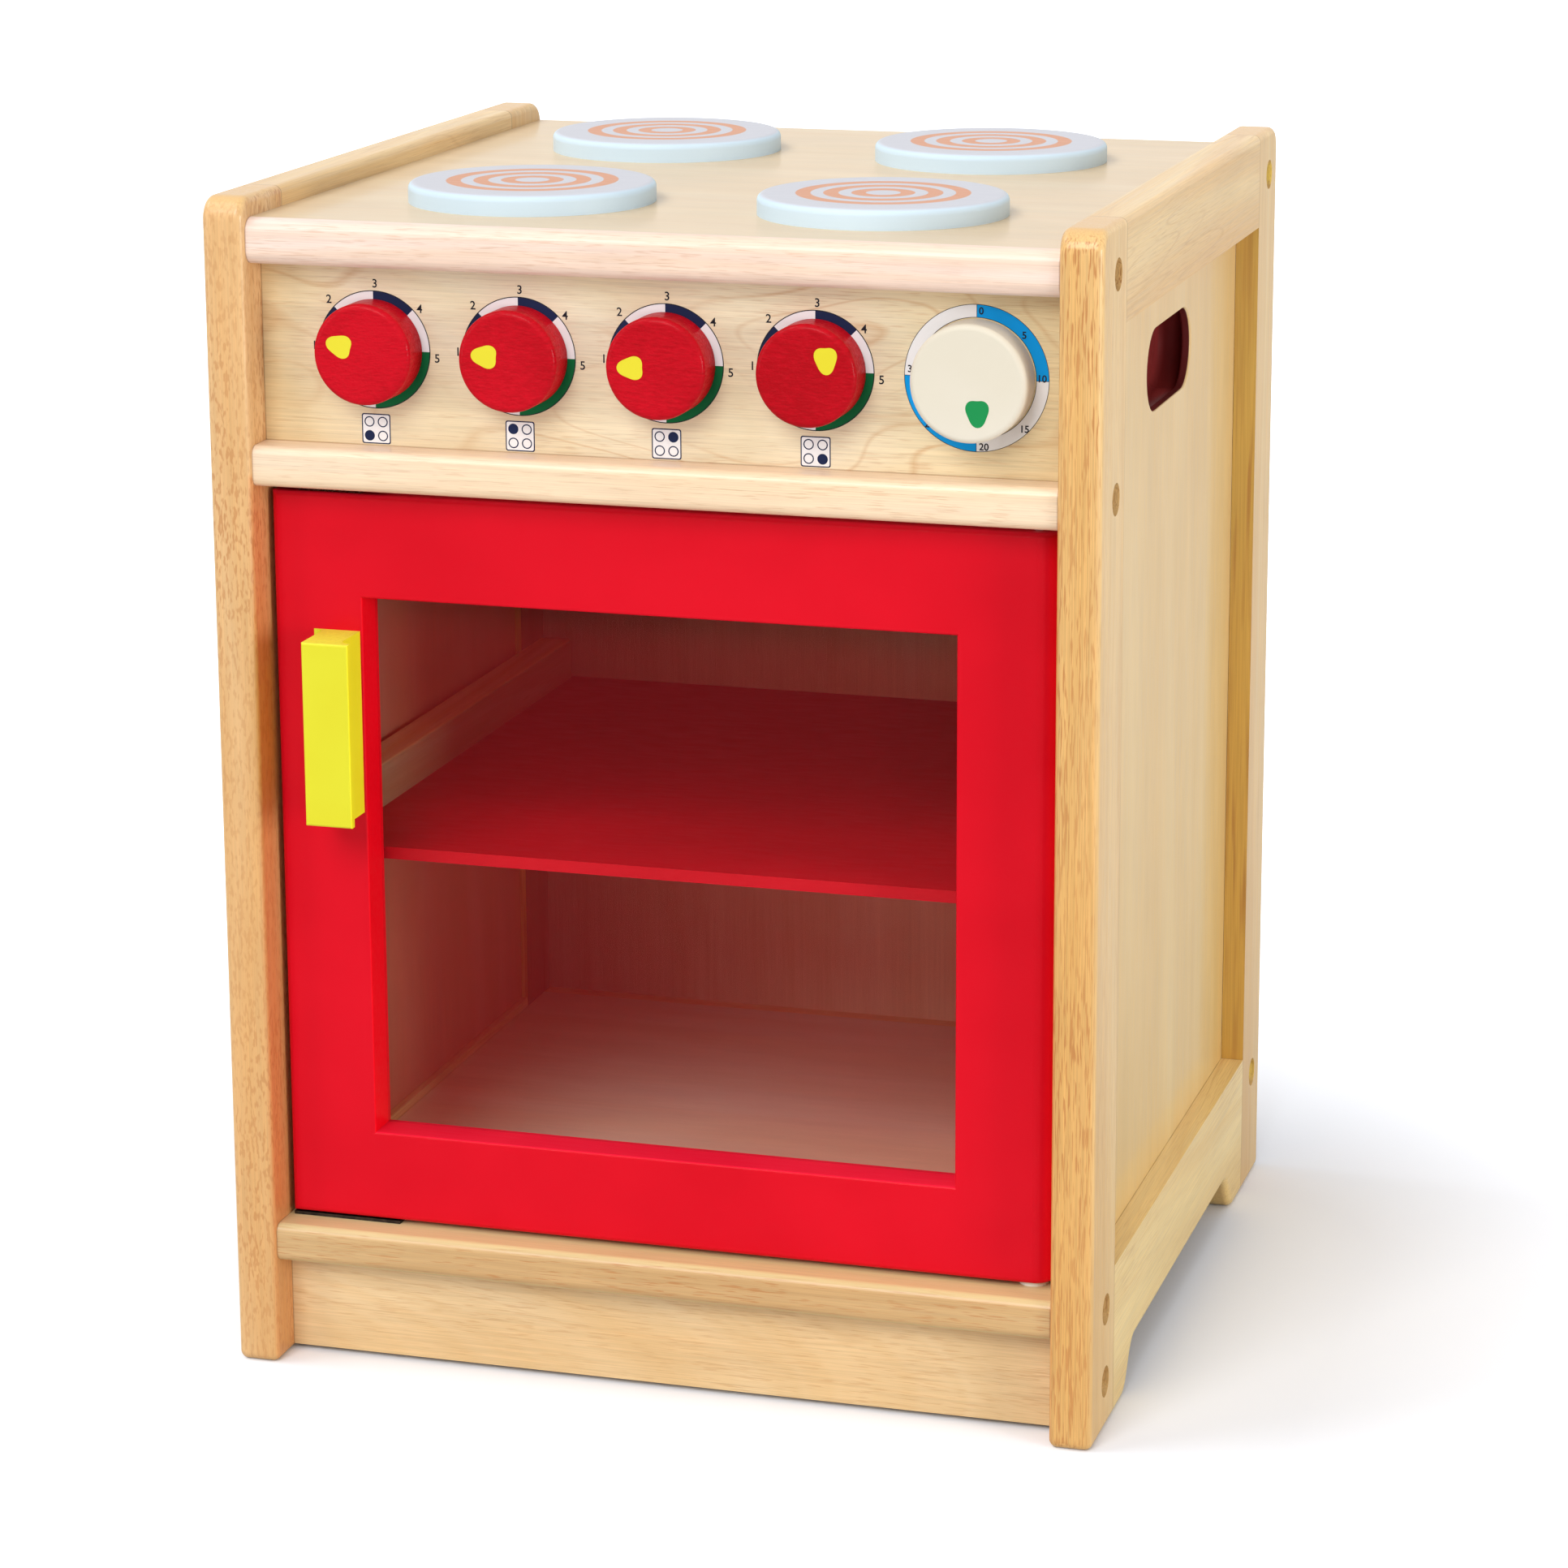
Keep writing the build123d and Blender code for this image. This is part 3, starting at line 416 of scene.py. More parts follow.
frame_grains = {"front_stile": "z", "rear_stile": "z", "top_rail": "y", "bottom_rail": "y"}
for seed, side in enumerate(("left", "right")):
    for part, grain in frame_grains.items():
        name = f"{side}_{part}"
        lean = 0.03 if grain == "z" else 0.12
        pore_size, pore_range = pore_looks.get(name, ((60.0, 1500.0), (0.55, 0.68)))
        tones = ("#FCE3A4", "#F2D290", "#E4B96A") if part == "bottom_rail" else pale_tones
        # The front stiles' faces that look inwards also take the edge tones: painted shade and red
        # bounce light from the door.
        inner = {"left_front_stile": 1.0, "right_front_stile": -1.0}.get(name, 0.0)
        finish = wood(f"wood_{name}", name, grain, 3 * seed + len(part), tones, lean=lean, pores=0.2,
                      pore_size=pore_size, pore_range=pore_range, edge=edge_looks.get(name),
                      inner=inner, loops=0.0 if grain == "z" else 0.3, loop_size=(4.0, 60.0),
                      seams=joints)
        wear_finish([name], finish)
print("side frames: grain up the stiles and along the rails, joints at", joint_places)

# %% Wood for the front boards, rails and hidden parts
cross_boards = (
    ("hob_front_rail", (0.03, 0.05), 0.03, ("#F7E5E0", "#F2D9C8", "#E8C3A3")),
    ("control_panel", (0.10, 0.02), 0.22, ("#F0E4C9", "#E9D9B8", "#DEC79C")),
    ("middle_rail", (0.04, 0.05), 0.02, front_tones),
    ("lower_rail", (0.03, 0.06), 0.02, ("#DDBE8C", "#CFAB76", "#B68750")),
    ("plinth_board", (0.12, 0.03), 0.25, ("#EBD0A4", "#E5C492", "#D9AD73")),
    ("hob_rear_rail", (0.03, 0.06), 0.05, pale_tones),
    ("rear_bottom_rail", (0.05, 0.06), 0.05, pale_tones),
    ("ceiling_battens", (0.03, 0.06), 0.05, pale_tones),
    ("door_stop", (0.03, 0.06), 0.05, honey_tones),
)

for seed, (name, pith, lean, tones) in enumerate(cross_boards):
    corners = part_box(name)
    seams = [("x", corner.x) for corner in corners]
    if name == "control_panel":
        seams += [("z", corner.z) for corner in corners]
    # The lower rail's faces that look up and down get paler, greener tones: painted light on its top.
    lit_top_tones = (("#E2D4A2", "#D9C68F", "#CDB47A"), 0.03, 0.1) if name == "lower_rail" else None
    loops = {"control_panel": 0.4, "plinth_board": 0.16}.get(name, 0.0)
    loop_size = (5.0, 34.0) if name == "plinth_board" else (9.0, 22.0)
    pores = 0.6 if name == "lower_rail" else 0.25
    finish = wood(f"wood_{name}", name, "x", 11 + seed, tones, pith, lean, pores=pores, edge=lit_top_tones,
                  edge_axis="z", loops=loops, loop_size=loop_size, seams=seams)
    wear_finish([name], finish)
for seed, name in enumerate(("left_shelf_runner", "right_shelf_runner")):
    wear_finish([name], wood(f"wood_{name}", name, "y", 31 + seed, honey_tones))
wear_finish(["frame_dowels"], wood("wood_frame_dowels", "frame_dowels", "y", 41, honey_tones))
print("boards that run from side to side:", len(cross_boards))

# %% [markdown]
# ## Plywood
#
# The side panels, back, oven floor and ceiling are thin plywood with a peeled face. Peeling a log
# gives a calm, wide figure without dashes. It is the same wood recipe with the pith far away, wide
# bands and almost no pores.

# %% Plywood faces
ply_tones = ("#EBCC95", "#E6C48A", "#DEB676")
plywood_faces = (
    ("left_panel", "z", ply_tones),
    ("right_panel", "z", ply_tones),
    ("back_panel", "z", ("#E4C596", "#DCB987", "#D0A871")),
    ("oven_floor", "x", ("#FFEDD6", "#FFE4C8", "#F6D6AE")),
    ("oven_ceiling", "x", ("#DDB583", "#D3A873", "#C4945D")),
    ("hob_board", "x", ("#E1C9A4", "#DDC19A", "#D8BC91")),
)

for seed, (name, grain, tones) in enumerate(plywood_faces):
    finish = wood(f"plywood_{name}", name, grain, 51 + seed, tones, (0.35, 0.2), 0.06, 45.0,
                  streaks=0.02, pores=0.05)
    wear_finish([name], finish)
print("plywood faces:", len(plywood_faces))

# %% [markdown]
# ## The hand holes
#
# The sawn edge of each hand hole is painted dark red, as painted shade of the hollow behind it. The
# paint stops just short of the panel's outer face and leaves a thin pale rim. It belongs to the panel's
# own finish: it covers what lies deeper than the outer face, from a little below the hole up to where
# the panel is out of sight.

# %% Paint shade into the hand holes
hole_shade_depth, hole_shade_edge, hole_shade_from = 0.0007, 0.0002, 0.41
outward = (("left", -1.0), ("right", 1.0))
for side, sign in outward:
    name = f"{side}_panel"
    tree = finish_tree(name)
    outer = max(abs(corner.x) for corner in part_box(name))
    at = numbers_of(tree, surface_place(tree))
    depth = maths(tree, "SUBTRACT", outer, maths(tree, "MULTIPLY", at[0], sign))
    deep = fade(tree, depth, hole_shade_depth, hole_shade_depth + hole_shade_edge)
    high = fade(tree, at[2], hole_shade_from, hole_shade_from + hole_shade_edge)
    # Painted shade: this dark red stands in for the shade of the hollow behind the hole.
    lay_over(tree, maths(tree, "MULTIPLY", deep, high), colour("#622020"))
    print(name, "is stained inside its outer face at", round(outer * 1000, 2), "mm")

# %% [markdown]
# ## The inside of the oven
# Inside the oven the light is dim and reddened by the red boards around it and the tinted pane.
# Washes paint that shade and red bounce light into the wood: they multiply the colour of the faces
# that look inwards, so the grain stays visible. The painted shade is deepest on the rear stiles and
# the shelf runners. The back gets painted shade towards the left and painted light towards the
# right. The floor gets painted shade towards the rear, and is redder towards the right.

# %% Paint shade and red bounce light on the faces that look inwards
ceiling_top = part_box("oven_ceiling")[1].z
inside_shade_and_red_bounce = {"panel": (0.92, 0.58, 0.82, 1), "rear_stile": (0.36, 0.33, 0.34, 1),
                 "front_stile": (0.97, 0.78, 0.66, 1), "shelf_runner": (0.5, 0.58, 0.66, 1)}
inside_shade_ends = (ceiling_top, ceiling_top + 0.002)


def grade(node_name, faces, axis, places, first, second):
    """Washes the faces of a part that look one way. The wash changes between two places of an axis."""
    tree = finish_tree(node_name)
    wash_side(tree, *faces, change_along(tree, axis, *places, first, second))


for side, sign in outward:
    for part, wash in inside_shade_and_red_bounce.items():
        grade(f"{side}_{part}", ("x", -sign), "z", inside_shade_ends, wash, NO_WASH)
# Painted shade towards the left of the back, painted light towards its right.
grade("back_panel", ("y", -1), "x", (-0.16, 0.05), (0.5, 0.54, 0.72, 1), (1.22, 1.32, 1.7, 1))
# Painted shade on the oven floor towards the rear, where less light reaches.
grade("oven_floor", ("z", 1), "y", (-0.05, 0.18), NO_WASH, (0.74, 0.86, 0.92, 1))
# The oven floor is redder towards the right.
grade("oven_floor", ("z", 1), "x", (-0.1, 0.12), NO_WASH, (1, 0.78, 0.76, 1))
print("washed pieces in the oven:", 2 * len(inside_shade_and_red_bounce) + 2, "up to z", round(ceiling_top, 3), "m")

# %% [markdown]
# ## Boards that darken along their length
#
# The side panels get painted shade near the floor: they are a little darker and yellower at their
# foot. The control panel gets painted shade at both ends, where it lies recessed between the stiles,
# and is browner there. The rear stiles are deep amber only where they look to the front, so a wash
# takes the amber back on the faces that look to the rear.

# %% Wash the outer faces
rear_wash = (0.88, 0.77, 1.5, 1)
for side, sign in outward:
    # Painted shade near the floor: the side panels' outer faces are darker and yellower at their foot.
    grade(f"{side}_panel", ("x", sign), "z", (0.1, 0.4), (0.98, 0.98, 0.87, 1), NO_WASH)
    wash_side(finish_tree(f"{side}_rear_stile"), "y", 1, rear_wash)
# Painted shade at both ends of the control panel, next to the stiles.
grade("control_panel", ("y", -1), "x", (-0.178, -0.135), (0.93, 0.84, 0.66, 1), NO_WASH)
grade("control_panel", ("y", -1), "x", (0.08, 0.178), NO_WASH, (0.98, 0.91, 0.74, 1))
print("stiles' backs keep", rear_wash[:2], "of their red and green, and more blue:", rear_wash[2])

# %% [markdown]
# ## Paint
#
# Paint on toys is a thick satin coat. It is nearly one colour, with three faults that the eye
# expects: the tone drifts a little, brush or spray leaves a fine orange-peel skin, and the wood's
# grain stands through it faintly. The knobs were painted by hand, so their strokes show more.


# %% Painted wood
drift_bumps, skin_bumps = 14.0, 900.0
brush_strokes, stroke_relief = (60.0, 400.0, 400.0), 0.00008


def paint(name, main, second, stroke=brush_strokes, relief=stroke_relief, rough=0.42, gloss=0.12,
          coat=0.0, brushed=0.0):
    """Satin paint that drifts between two near colours. Its strokes stand up by relief, in metres, and
    stroke is how many there are in a metre along each axis. brushed is how far they also show in the
    colour."""
    material, tree, shader = new_material(name, Specular_IOR_Level=gloss, Coat_Weight=coat,
                                          Coat_Roughness=0.08)
    place = surface_place(tree)
    strokes = noise(tree, place, stroke, 2.0)
    drift = noise(tree, place, drift_bumps, 2.0)
    drift = maths(tree, "ADD", drift, maths(tree, "MULTIPLY", strokes, brushed))
    drift = fade(tree, drift, *(edge + brushed / 2 for edge in NOISE_CORE))
    skin = noise(tree, place, skin_bumps, 1.0)
    tree.links.new(mix(tree, drift, colour(main), colour(second)), shader.inputs["Base Color"])
    roughness = fade(tree, strokes, *NOISE_SPAN, rough - 0.04, rough + 0.06)
    tree.links.new(roughness, shader.inputs["Roughness"])
    bump(tree, shader, maths(tree, "ADD", strokes, maths(tree, "MULTIPLY", skin, 0.5)), relief, 0.5)
    return material, tree


print("a stroke of paint stands up by", round(stroke_relief * 1000, 3), "mm")

# %% [markdown]
# The door's faces that look to the right, such as its right edge and the window's left reveal, get
# painted light, and those that look up, such as its top and the window's lower reveal, a pink painted
# reflection. The shelf gets painted shade at the rear, where little light reaches it.

# %% Paint the door, shelf and knobs
heat_knobs = ["heat_knob_1", "heat_knob_2", "heat_knob_3", "heat_knob_4"]
door_paint, tree = paint("red_door_paint", "#D80B21", "#D0071D", gloss=0.06, coat=0.1)
# Painted light on the faces that look to the right: the door's right edge and the window's left reveal.
wash_side(tree, "x", 1, (1.42, 1.3, 1.0, 1))
# A pink painted reflection on the faces that look up: the door's top and the window's lower reveal.
wash_side(tree, "z", 1, (1.3, 5.0, 3.2, 1))
wear_finish(["door_board", "glazing_beads"], door_paint)
shelf_paint, _ = paint("red_shelf_paint", "#C4101F", "#B80D1B")
wear_finish(["shelf"], shelf_paint)
# Painted shade on the shelf towards the rear.
grade("shelf", ("z", 1), "y", (-0.08, 0.17), (0.97, 1, 1, 1), (0.42, 0.8, 0.95, 1))
knob_paint, _ = paint("red_knob_paint", "#C60E20", "#A80815", (260.0, 200.0, 1000.0), 0.0009, 0.38,
                      0.03, coat=0.1, brushed=0.4)
wear_finish(heat_knobs, knob_paint)
cream_paint, _ = paint("cream_knob_paint", "#DFD8CA", "#D8D0BE", relief=0.00004)
wear_finish(["timer_knob"], cream_paint)
print("painted knobs:", len(heat_knobs) + 1)

# %% [markdown]
# ## The door pull
#
# The pull is bright yellow. Its sawn top and bottom drank the paint, so the fine end grain shows
# through there as two near tones. The finish looks at which way the surface faces to tell ends from
# sides. The side that looks to the right is washed brighter, as it catches the most light.

# %% Yellow pull
end_grain_bumps, pull_end_span = 700.0, (0.6, 0.85)
pull_paint, tree = paint("yellow_pull_paint", "#DBD733", "#D8CF2B", (400.0, 400.0, 50.0))
on_ends = fade(tree, maths(tree, "ABSOLUTE", facing(tree)[2]), *pull_end_span)
end_grain = fade(tree, noise(tree, surface_place(tree), end_grain_bumps, 3.0), *NOISE_CORE)
lay_over(tree, on_ends, mix(tree, end_grain, colour("#EAEC4F"), colour("#DFE046")))
wash_side(tree, "x", 1, (1.41, 1.45, 0.9, 1))
wear_finish(["door_pull"], pull_paint)
print("end grain specks in a millimetre of the pull:", end_grain_bumps / 1000)

# %% [markdown]
# ## The hob discs
#
# Four discs of painted board stand for the heating plates: pale blue sides, a slightly greyer top,
# and three printed salmon rings. The rings are printed flat on the wood, so they belong in the
# finish and not in the shape. Their distance from the disc's own middle tells where they go, and a
# little noise on that distance keeps their edges from being too perfect.

# %% Ring print on the discs
ring_shares = ((0.138, 0.253), (0.355, 0.475), (0.575, 0.695))
print_wander, print_soft, print_cover = 0.006, 0.004, 0.92
ragged_bumps, disc_top_span = 1500.0, (0.7, 0.98)


def disc_paint(node_name):
    """The finish of one disc. Ring edges are given as shares of the disc's own radius."""
    low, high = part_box(node_name)
    middle, radius = (low + high) / 2, (high.x - low.x) / 2
    material, tree = paint(f"paint_{node_name}", "#CFE3F0", "#C8DDEC", relief=0.00004)
    flat = vector_maths(tree, "SUBTRACT", surface_place(tree), (middle.x, middle.y, 0))
    flat = vector_maths(tree, "MULTIPLY", flat, (1 / radius, 1 / radius, 0))
    ragged = noise(tree, surface_place(tree), ragged_bumps, 2.0)
    ragged = maths(tree, "SUBTRACT", maths(tree, "MULTIPLY", ragged, 2 * print_wander), print_wander)
    away = maths(tree, "ADD", vector_maths(tree, "LENGTH", flat), ragged)
    on_top = fade(tree, facing(tree)[2], *disc_top_span)
    lay_over(tree, on_top, colour("#CACBD3"))
    for inner, outer in ring_shares:
        centre, half = (inner + outer) / 2, (outer - inner) / 2
        off = maths(tree, "ABSOLUTE", maths(tree, "SUBTRACT", away, centre))
        printed = fade(tree, off, half - print_soft, half + print_soft, print_cover, 0.0)
        lay_over(tree, maths(tree, "MULTIPLY", printed, on_top), colour("#D5946E"))
    return material


for row in ("front", "rear"):
    for side in ("left", "right"):
        wear_finish([f"hob_disc_{row}_{side}"], disc_paint(f"hob_disc_{row}_{side}"))
print("rings on each disc:", len(ring_shares))

# %% [markdown]
# ## The window
#
# The pane is a thin acrylic sheet with a rosy brown tint, so the oven looks dim and warm behind it.
# A glass shader would bend the light and keep the lamps from reaching the oven. A thin tinted film
# does what the eye sees: most of the light passes, a little is coloured, and the surface reflects.

# %% Tinted pane
tint_share, haze_bumps, pane_roughness = 0.06, 30.0, (0.05, 0.13)
pane_finish, tree, shader = new_material("tinted_pane", Base_Color=colour("#EC343C"), Alpha=tint_share,
                                         Coat_Weight=0.1, Coat_Roughness=0.03, Specular_IOR_Level=0.12)
haze = noise(tree, surface_place(tree), haze_bumps, 3.0)
tree.links.new(fade(tree, haze, *NOISE_SPAN, *pane_roughness), shader.inputs["Roughness"])
wear_finish(["door_pane"], pane_finish)
print("light that passes the pane untinted:", round(1 - tint_share, 2))

# %% [markdown]
# ## Metal and small hidden parts
#
# Screws, bolts and nuts are zinc plated, the catch strips are dark steel, and the bushes are brass.
# Plating is never even: it has clouds of duller and brighter metal, and fine scratches.


# %% Metals
cloud_bumps, scratch_bumps = 260.0, (3000.0, 300.0, 3000.0)
scratch_depth, dull_roughness = 0.00005, 0.18


def metal(name, bright, dull, rough):
    """Plated metal. rough is how rough its bright clouds are, and the dull ones are rougher."""
    material, tree, shader = new_material(name, Metallic=1.0)
    place = surface_place(tree)
    clouds = fade(tree, noise(tree, place, cloud_bumps, 3.0), *NOISE_SPAN)
    scratches = noise(tree, place, scratch_bumps, 2.0)
    tree.links.new(mix(tree, clouds, colour(bright), colour(dull)), shader.inputs["Base Color"])
    roughness = fade(tree, clouds, 0.0, 1.0, rough, rough + dull_roughness)
    tree.links.new(roughness, shader.inputs["Roughness"])
    bump(tree, shader, scratches, scratch_depth, 0.4)
    return material


zinc = metal("zinc_plate", "#C9CACB", "#9FA1A4", 0.25)
wear_finish(["connector_bolts", "barrel_nuts", "back_panel_screws", "hob_disc_screws", "catch_screws",
             "glazing_screws", "door_pull_screws", "door_pivot_pins", "timer_knob_screw"], zinc)
wear_finish([f"{knob}_screw" for knob in heat_knobs], zinc)
wear_finish(["door_strikes"], metal("bright_steel", "#D6D7D8", "#B4B6B8", 0.18))
wear_finish(["catch_strips", "catch_magnets"], metal("dark_steel", "#4A4340", "#2C2725", 0.3))
wear_finish(["pivot_bushes"], metal("brass", "#D9B563", "#B8923F", 0.25))
nylon, _ = paint("nylon_white", "#F0EEE6", "#E6E3D8")
wear_finish(["pivot_washer"], nylon)
print("finishes so far:", len({node.material_slots[0].material.name for node in nodes.values()}))

# %% [markdown]
# ## Printed dials
#
# Around each knob a dial is printed on the control panel: a ring in coloured eighths and quarters with
# the numbers 1 to 5 outside it, and for the timer a larger ring in quarters with its numbers on it. Ink
# has no thickness to speak of, but two faces in one place flicker, so each layer of ink is a sheet a
# few hundredths of a millimetre in front of the last.

# %% Helpers for flat printed shapes
mm = 0.001
ink_gap = 0.04 * mm
degrees_per_step = 3
figure_height_share, figure_thickening, figure_steps = 0.73, 0.07 * mm, 4
panel_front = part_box("control_panel")[0].y
first_layer, second_layer, third_layer = (panel_front - layer * ink_gap for layer in (1, 2, 3))


def band(bm, middle, inner, outer, start, end, y, ink_index):
    """A flat ring sector that faces the front. Angles are in degrees, anticlockwise from the right."""
    steps = max(2, round(abs(end - start) / degrees_per_step))
    rows = []
    for i in range(steps + 1):
        angle = math.radians(start + (end - start) * i / steps)
        rows.append([bm.verts.new((middle[0] + r * math.cos(angle), y, middle[1] + r * math.sin(angle)))
                     for r in (inner, outer)])
    for (a, b), (c, d) in zip(rows, rows[1:]):
        bm.faces.new((a, b, d, c) if end > start else (a, c, d, b)).material_index = ink_index


def sheet_shape(bm, points, y, ink_index):
    """A flat shape that faces the front, from its outline's points, anticlockwise."""
    bm.faces.new([bm.verts.new((x, y, z)) for x, z in points]).material_index = ink_index


def words(bm, text, middle, height, y, ink_index):
    """Plain figures, made from Blender's own font, thickened a little and laid on the front."""
    curve = bpy.data.curves.new("figure", "FONT")
    curve.body, curve.size = text, height / figure_height_share
    curve.align_x, curve.align_y = "CENTER", "CENTER"
    curve.offset, curve.resolution_u = figure_thickening, figure_steps
    holder = bpy.data.objects.new("figure", curve)
    bpy.context.scene.collection.objects.link(holder)
    bpy.context.view_layer.update()
    mesh = bpy.data.meshes.new_from_object(holder)
    stand_up = Matrix.Rotation(math.radians(90), 4, "X")
    mesh.transform(Matrix.Translation((middle[0], y, middle[1])) @ stand_up)
    first = len(bm.faces)
    bm.from_mesh(mesh)
    bm.faces.ensure_lookup_table()
    for face in bm.faces[first:]:
        face.material_index = ink_index
    bpy.data.objects.remove(holder)
    bpy.data.curves.remove(curve)
    bpy.data.meshes.remove(mesh)


def new_piece(name, bm, finishes, body):
    """Turns what bmesh holds into an object that moves with a CAD body."""
    mesh = bpy.data.meshes.new(name)
    bm.to_mesh(mesh)
    bm.free()
    for finish in finishes:
        mesh.materials.append(finish)
    piece = bpy.data.objects.new(name, mesh)
    bpy.context.scene.collection.objects.link(piece)
    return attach(piece, body)


def ink(name, main, second):
    """Thin, dull printing ink."""
    return paint(name, main, second, relief=0.00002, rough=0.5)[0]


dial_inks = [
    ink("white_ink", "#F1F0F0", "#E7E6E8"),
    ink("navy_ink", "#1F2A50", "#18213F"),
    ink("green_ink", "#0B6B3A", "#0A6035"),
    ink("blue_ink", "#0A9BE8", "#0893DE"),
    ink("black_ink", "#2A2830", "#1E1C24"),
]
WHITE, NAVY, GREEN, BLUE, BLACK = range(5)
print("inks:", len(dial_inks), "on the panel's front at y", round(panel_front, 4), "m")

# %% Heat dials
heat_ring_radius, under_knob_share = 25.5 * mm, 0.74
rim_line, heat_figure_height = (0.15 * mm, 0.25 * mm), 3.8 * mm
heat_sectors = ((180, 135, NAVY), (135, 90, WHITE), (90, 45, NAVY), (45, 0, WHITE), (0, -90, GREEN),
                (-90, -180, WHITE))
heat_figures = (("1", -27.6, 0.6), ("2", -20.4, 21.0), ("3", 0.9, 28.6), ("4", 21.2, 18.4),
                ("5", 28.8, -2.8))


def knob_middle(node_name):
    """Where a knob's middle is, to the right and up."""
    low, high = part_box(node_name)
    return (low.x + high.x) / 2, (low.z + high.z) / 2


for knob in heat_knobs:
    bm = bmesh.new()
    x, z = knob_middle(knob)
    under_knob = heat_ring_radius * under_knob_share
    for start, end, ink_index in heat_sectors:
        band(bm, (x, z), under_knob, heat_ring_radius, start, end, first_layer, ink_index)
    rim = (heat_ring_radius - rim_line[0], heat_ring_radius + rim_line[1])
    band(bm, (x, z), *rim, 0, 360, second_layer, BLACK)
    for text, right, up in heat_figures:
        place = (x + right * mm, z + up * mm)
        words(bm, text, place, heat_figure_height, first_layer, BLACK)
    new_piece(f"dial_{knob}", bm, dial_inks, "cabinet")
print("a heat dial is", round(2 * heat_ring_radius * 1000, 1), "mm across")

# %% Timer dial
timer_ring = (25.6 * mm, 31.0 * mm)
half_line, timer_figure_height = 0.12 * mm, 3.1 * mm
timer_sectors = ((90, 0, BLUE), (0, -90, WHITE), (-90, -180, BLUE), (180, 90, WHITE))
timer_figures = (("0", 1.9, 28.2), ("5", 20.3, 18.8), ("10", 27.9, 0.9), ("15", 20.6, -20.6),
                 ("20", 3.3, -29.0), ("25", -20.2, -20.4), ("30", -27.6, 2.6))
bm = bmesh.new()
x, z = knob_middle("timer_knob")
for start, end, ink_index in timer_sectors:
    band(bm, (x, z), *timer_ring, start, end, first_layer, ink_index)
for radius in timer_ring:
    band(bm, (x, z), radius - half_line, radius + half_line, 0, 360, second_layer, BLACK)
half_angle = math.degrees(half_line / timer_ring[1])
for angle in (0, 90, 180, 270):
    band(bm, (x, z), *timer_ring, angle - half_angle, angle + half_angle, second_layer, BLACK)
for text, right, up in timer_figures:
    place = (x + right * mm, z + up * mm)
    words(bm, text, place, timer_figure_height, third_layer, BLACK)
new_piece("dial_timer_knob", bm, dial_inks, "cabinet")
print("the timer's dial is", round(2 * timer_ring[1] * 1000, 1), "mm across")

# %% [markdown]
# ## Plate signs under the knobs
#
# Under each heat knob a small square shows which plate it turns on: four circles, one of them filled.
# The signs are the same shapes with another circle filled, so one loop prints all four.

# %% Plate signs
sign_half, sign_corner, sign_line = 6.6 * mm, 1.0 * mm, 0.5 * mm
sign_height, corner_steps = 429.4 * mm, 4
plate_offset, plate_radius, filled_hollow = 3.05 * mm, 2.3 * mm, 0.0001 * mm
filled_places = ((-1, -1), (-1, 1), (1, 1), (1, -1))


def rounded_square(middle, half, corner):
    """The outline of a square with round corners, anticlockwise from its lower right corner."""
    points = []
    for turn, (sx, sz) in enumerate(((1, -1), (1, 1), (-1, 1), (-1, -1))):
        for step in range(corner_steps + 1):
            angle = math.radians(-90 + 90 * turn + 90 * step / corner_steps)
            points.append((middle[0] + sx * (half - corner) + corner * math.cos(angle),
                           middle[1] + sz * (half - corner) + corner * math.sin(angle)))
    return points


for knob, filled in zip(heat_knobs, filled_places):
    bm = bmesh.new()
    x, _ = knob_middle(knob)
    middle = (x, sign_height)
    inner_square = rounded_square(middle, sign_half - sign_line, sign_corner - sign_line / 2)
    sheet_shape(bm, rounded_square(middle, sign_half, sign_corner), first_layer, NAVY)
    sheet_shape(bm, inner_square, second_layer, WHITE)
    for sx, sz in filled_places:
        plate = (x + sx * plate_offset, sign_height + sz * plate_offset)
        hollow = filled_hollow if (sx, sz) == filled else plate_radius - sign_line
        band(bm, plate, hollow, plate_radius, 0, 360, third_layer, NAVY)
    new_piece(f"sign_{knob}", bm, dial_inks, "cabinet")
print("a sign is", round(2 * sign_half * 1000, 1), "mm wide")

# %% [markdown]
# ## Pointers
#
# Each knob has a pointer painted on its face with a stencil: a shape like a guitar pick. The knobs in
# the photograph stand at different settings and one stencil slipped, so every pointer has its own
# place and turn.

# %% Painted pointers
yellow_ink = ink("yellow_pointer", "#E0D335", "#DACB2E")
pointer_green = ink("green_pointer", "#1E9150", "#1A8648")
pick_length, pick_width, pick_points = 11.3 * mm, 9.8 * mm, 48
corners_share, point_share = 0.06, 0.05
pointer_places = (
    ("heat_knob_1", -9.1, 3.5, 165, yellow_ink),
    ("heat_knob_2", -9.0, 2.0, 176, yellow_ink),
    ("heat_knob_3", -9.7, 0.2, 182, yellow_ink),
    ("heat_knob_4", 9.0, 8.0, -86, yellow_ink),
    ("timer_knob", 4.3, -11.1, -88, pointer_green),
)


def pick_outline(middle, turn, length, width):
    """A guitar pick around a point: a circle pulled out into one sharp and two blunt corners. It
    points to the right, and is then turned anticlockwise."""
    points = []
    for step in range(pick_points):
        angle = math.radians(360 * step / pick_points)
        reach = 0.5 + corners_share * math.cos(3 * angle) + point_share * math.cos(angle)
        points.append((length * reach * math.cos(angle), width * reach * math.sin(angle)))
    turned = Matrix.Rotation(turn, 2)
    return [tuple(Vector(middle) + turned @ Vector(point)) for point in points]


